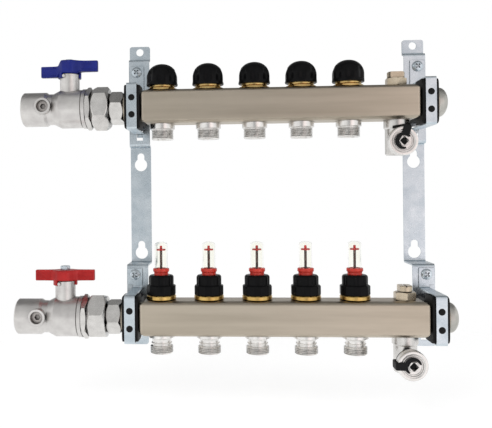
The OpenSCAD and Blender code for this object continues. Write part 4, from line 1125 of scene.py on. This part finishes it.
# %% [markdown]
# ## Union nuts and tailpieces
# A union joins each valve to its bar: the tailpiece is screwed into the neck, and the nut
# draws its flange against the valve. Both are turned about the valve's axis, from the neck's
# end leftwards. Between two heights the radius is that of a hexagon, and cones take its
# corners down at both ends, which leaves the arcs that every nut has. A six-sided cylinder
# with a bevel has no such arcs.

# %% Unions
NUT_START, NUT_LEN, NUT_AF, NUT_WALL, NUT_BORE_R, NUT_THREAD_R = 17.4, 20.0, 46.8, 3.5, 15.4, 21.15
TAIL_LEN, TAIL_AF, TAIL_R, TAIL_BORE_R = 17.0, 34.8, 15.0, 10.5
SPIGOT_R, SPIGOT_LEN, FLANGE_R, FLANGE_FROM, FLANGE_TO = 14.9, 12.0, 18.95, 21.3, 25.3
UNION_TURN = {"return": 7.0, "supply": 42.0}
TAIL_TURN = {"return": -16.0, "supply": 20.0}


def hexagon(width, start, end):
    """Makes a hexagon of the given width across flats from rows at its corner radius."""
    corner = width / 2 / np.cos(np.pi / 6)

    def shape(radius, angle, height):
        """The least of the radius, the flat's radius and the cone's."""
        flat = corner * prism(angle, 6)
        cone = 0.98 * width / 2 + 1.15 * np.minimum(height - start, end - height)
        hexed = (radius > width / 2 - 0.6) & (height > start - 0.01) & (height < end + 0.01)
        return np.where(hexed, np.minimum(radius, np.minimum(flat, cone)), radius)
    return corner, shape


def on_valve(part, line, degrees):
    """Takes a shell about Z to the valve's axis, turned, with Z leftwards from the neck's end."""
    points, faces = part
    turn = np.radians(degrees)
    x, y, z = points.T
    up, back = x * np.cos(turn) - y * np.sin(turn), x * np.sin(turn) + y * np.cos(turn)
    end = np.array([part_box(f"{line}_bar")[0].x, *bar_axis(line)])
    return np.stack([-z, back, up], axis=1) * MM + end, faces


def union_nut():
    """A nut with a thin wall behind the tailpiece's flange, and a wide bore."""
    start, end = NUT_START, NUT_START + NUT_LEN
    corner, shape = hexagon(NUT_AF, start, end)
    profile = [
        (NUT_BORE_R, start), (NUT_AF / 2 - 0.5, start), (corner, start), (corner, end),
        (NUT_THREAD_R, end), (NUT_THREAD_R, start + NUT_WALL), (NUT_BORE_R, start + NUT_WALL),
        (NUT_BORE_R, start)]
    return shell(lathe(along(profile, 0.4)[:-1], 144, shape), loop_rows=True)


def tailpiece():
    """A spigot in the neck, a hexagon, a barrel and a flange, with one bore."""
    corner, shape = hexagon(TAIL_AF, 0.0, TAIL_LEN)
    profile = [
        (TAIL_BORE_R, -SPIGOT_LEN), (SPIGOT_R, -SPIGOT_LEN), (SPIGOT_R, 0.0), (TAIL_AF / 2 - 0.5, 0.0),
        (corner, 0.0), (corner, TAIL_LEN), (TAIL_R, TAIL_LEN), (TAIL_R, FLANGE_FROM),
        (FLANGE_R, FLANGE_FROM), (FLANGE_R, FLANGE_TO), (TAIL_BORE_R, FLANGE_TO),
        (TAIL_BORE_R, -SPIGOT_LEN)]
    return shell(lathe(along(profile, 0.4)[:-1], 144, shape), loop_rows=True)


for line in LINES:
    make_piece(f"{line}_union_hexagon", [on_valve(union_nut(), line, UNION_TURN[line])],
               f"{line}_union", NICKEL, [f"{line}_union_nut"])
make_piece("tail_hexagons", [on_valve(tailpiece(), line, TAIL_TURN[line]) for line in LINES],
           "manifold", NICKEL, ["tailpieces"])

# %% [markdown]
# ## Threads inside the valves' ends
# The main pipes are screwed into the valves' ends. A thin sleeve with a helix on its inside
# lines each of them, so that the cast body can stay as the solid has it.

# %% Inside threads
FEMALE_R, FEMALE_DEPTH, FEMALE_PITCH = 15.15, 19.5, 2.31
FEMALE_START, SLEEVE_T, FEMALE_CUT = 0.6, 0.7, 0.68


def inside_thread(line):
    """A sleeve about the valve's axis, from the valve's end inwards."""
    y, z = bar_axis(line)
    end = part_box("valve_bodies")[0].x
    inner_r = FEMALE_R - SLEEVE_T
    profile = along([
        (FEMALE_R, FEMALE_START), (inner_r, FEMALE_START + SLEEVE_T), (inner_r, FEMALE_DEPTH),
        (FEMALE_R, FEMALE_DEPTH), (FEMALE_R, FEMALE_START)], 0.3)[:-1] * MM

    def cut(radius, angle, height):
        """The inner radius plus the depth times the groove."""
        inner = radius < (FEMALE_R - 0.05) * MM
        return radius + FEMALE_CUT * MM * groove(angle, height, FEMALE_PITCH * MM) * inner
    points, faces = shell(lathe(profile, 96, cut), loop_rows=True)
    px, py, pz = points.T
    return np.stack([end + pz, y + py, z + px], axis=1), faces


make_piece("female_threads", [inside_thread(line) for line in LINES], "manifold", NICKEL)

# %% [markdown]
# ## The view settings
# Colours are shown as they are written.

# %% View settings
bpy.context.scene.view_settings.view_transform = "Standard"
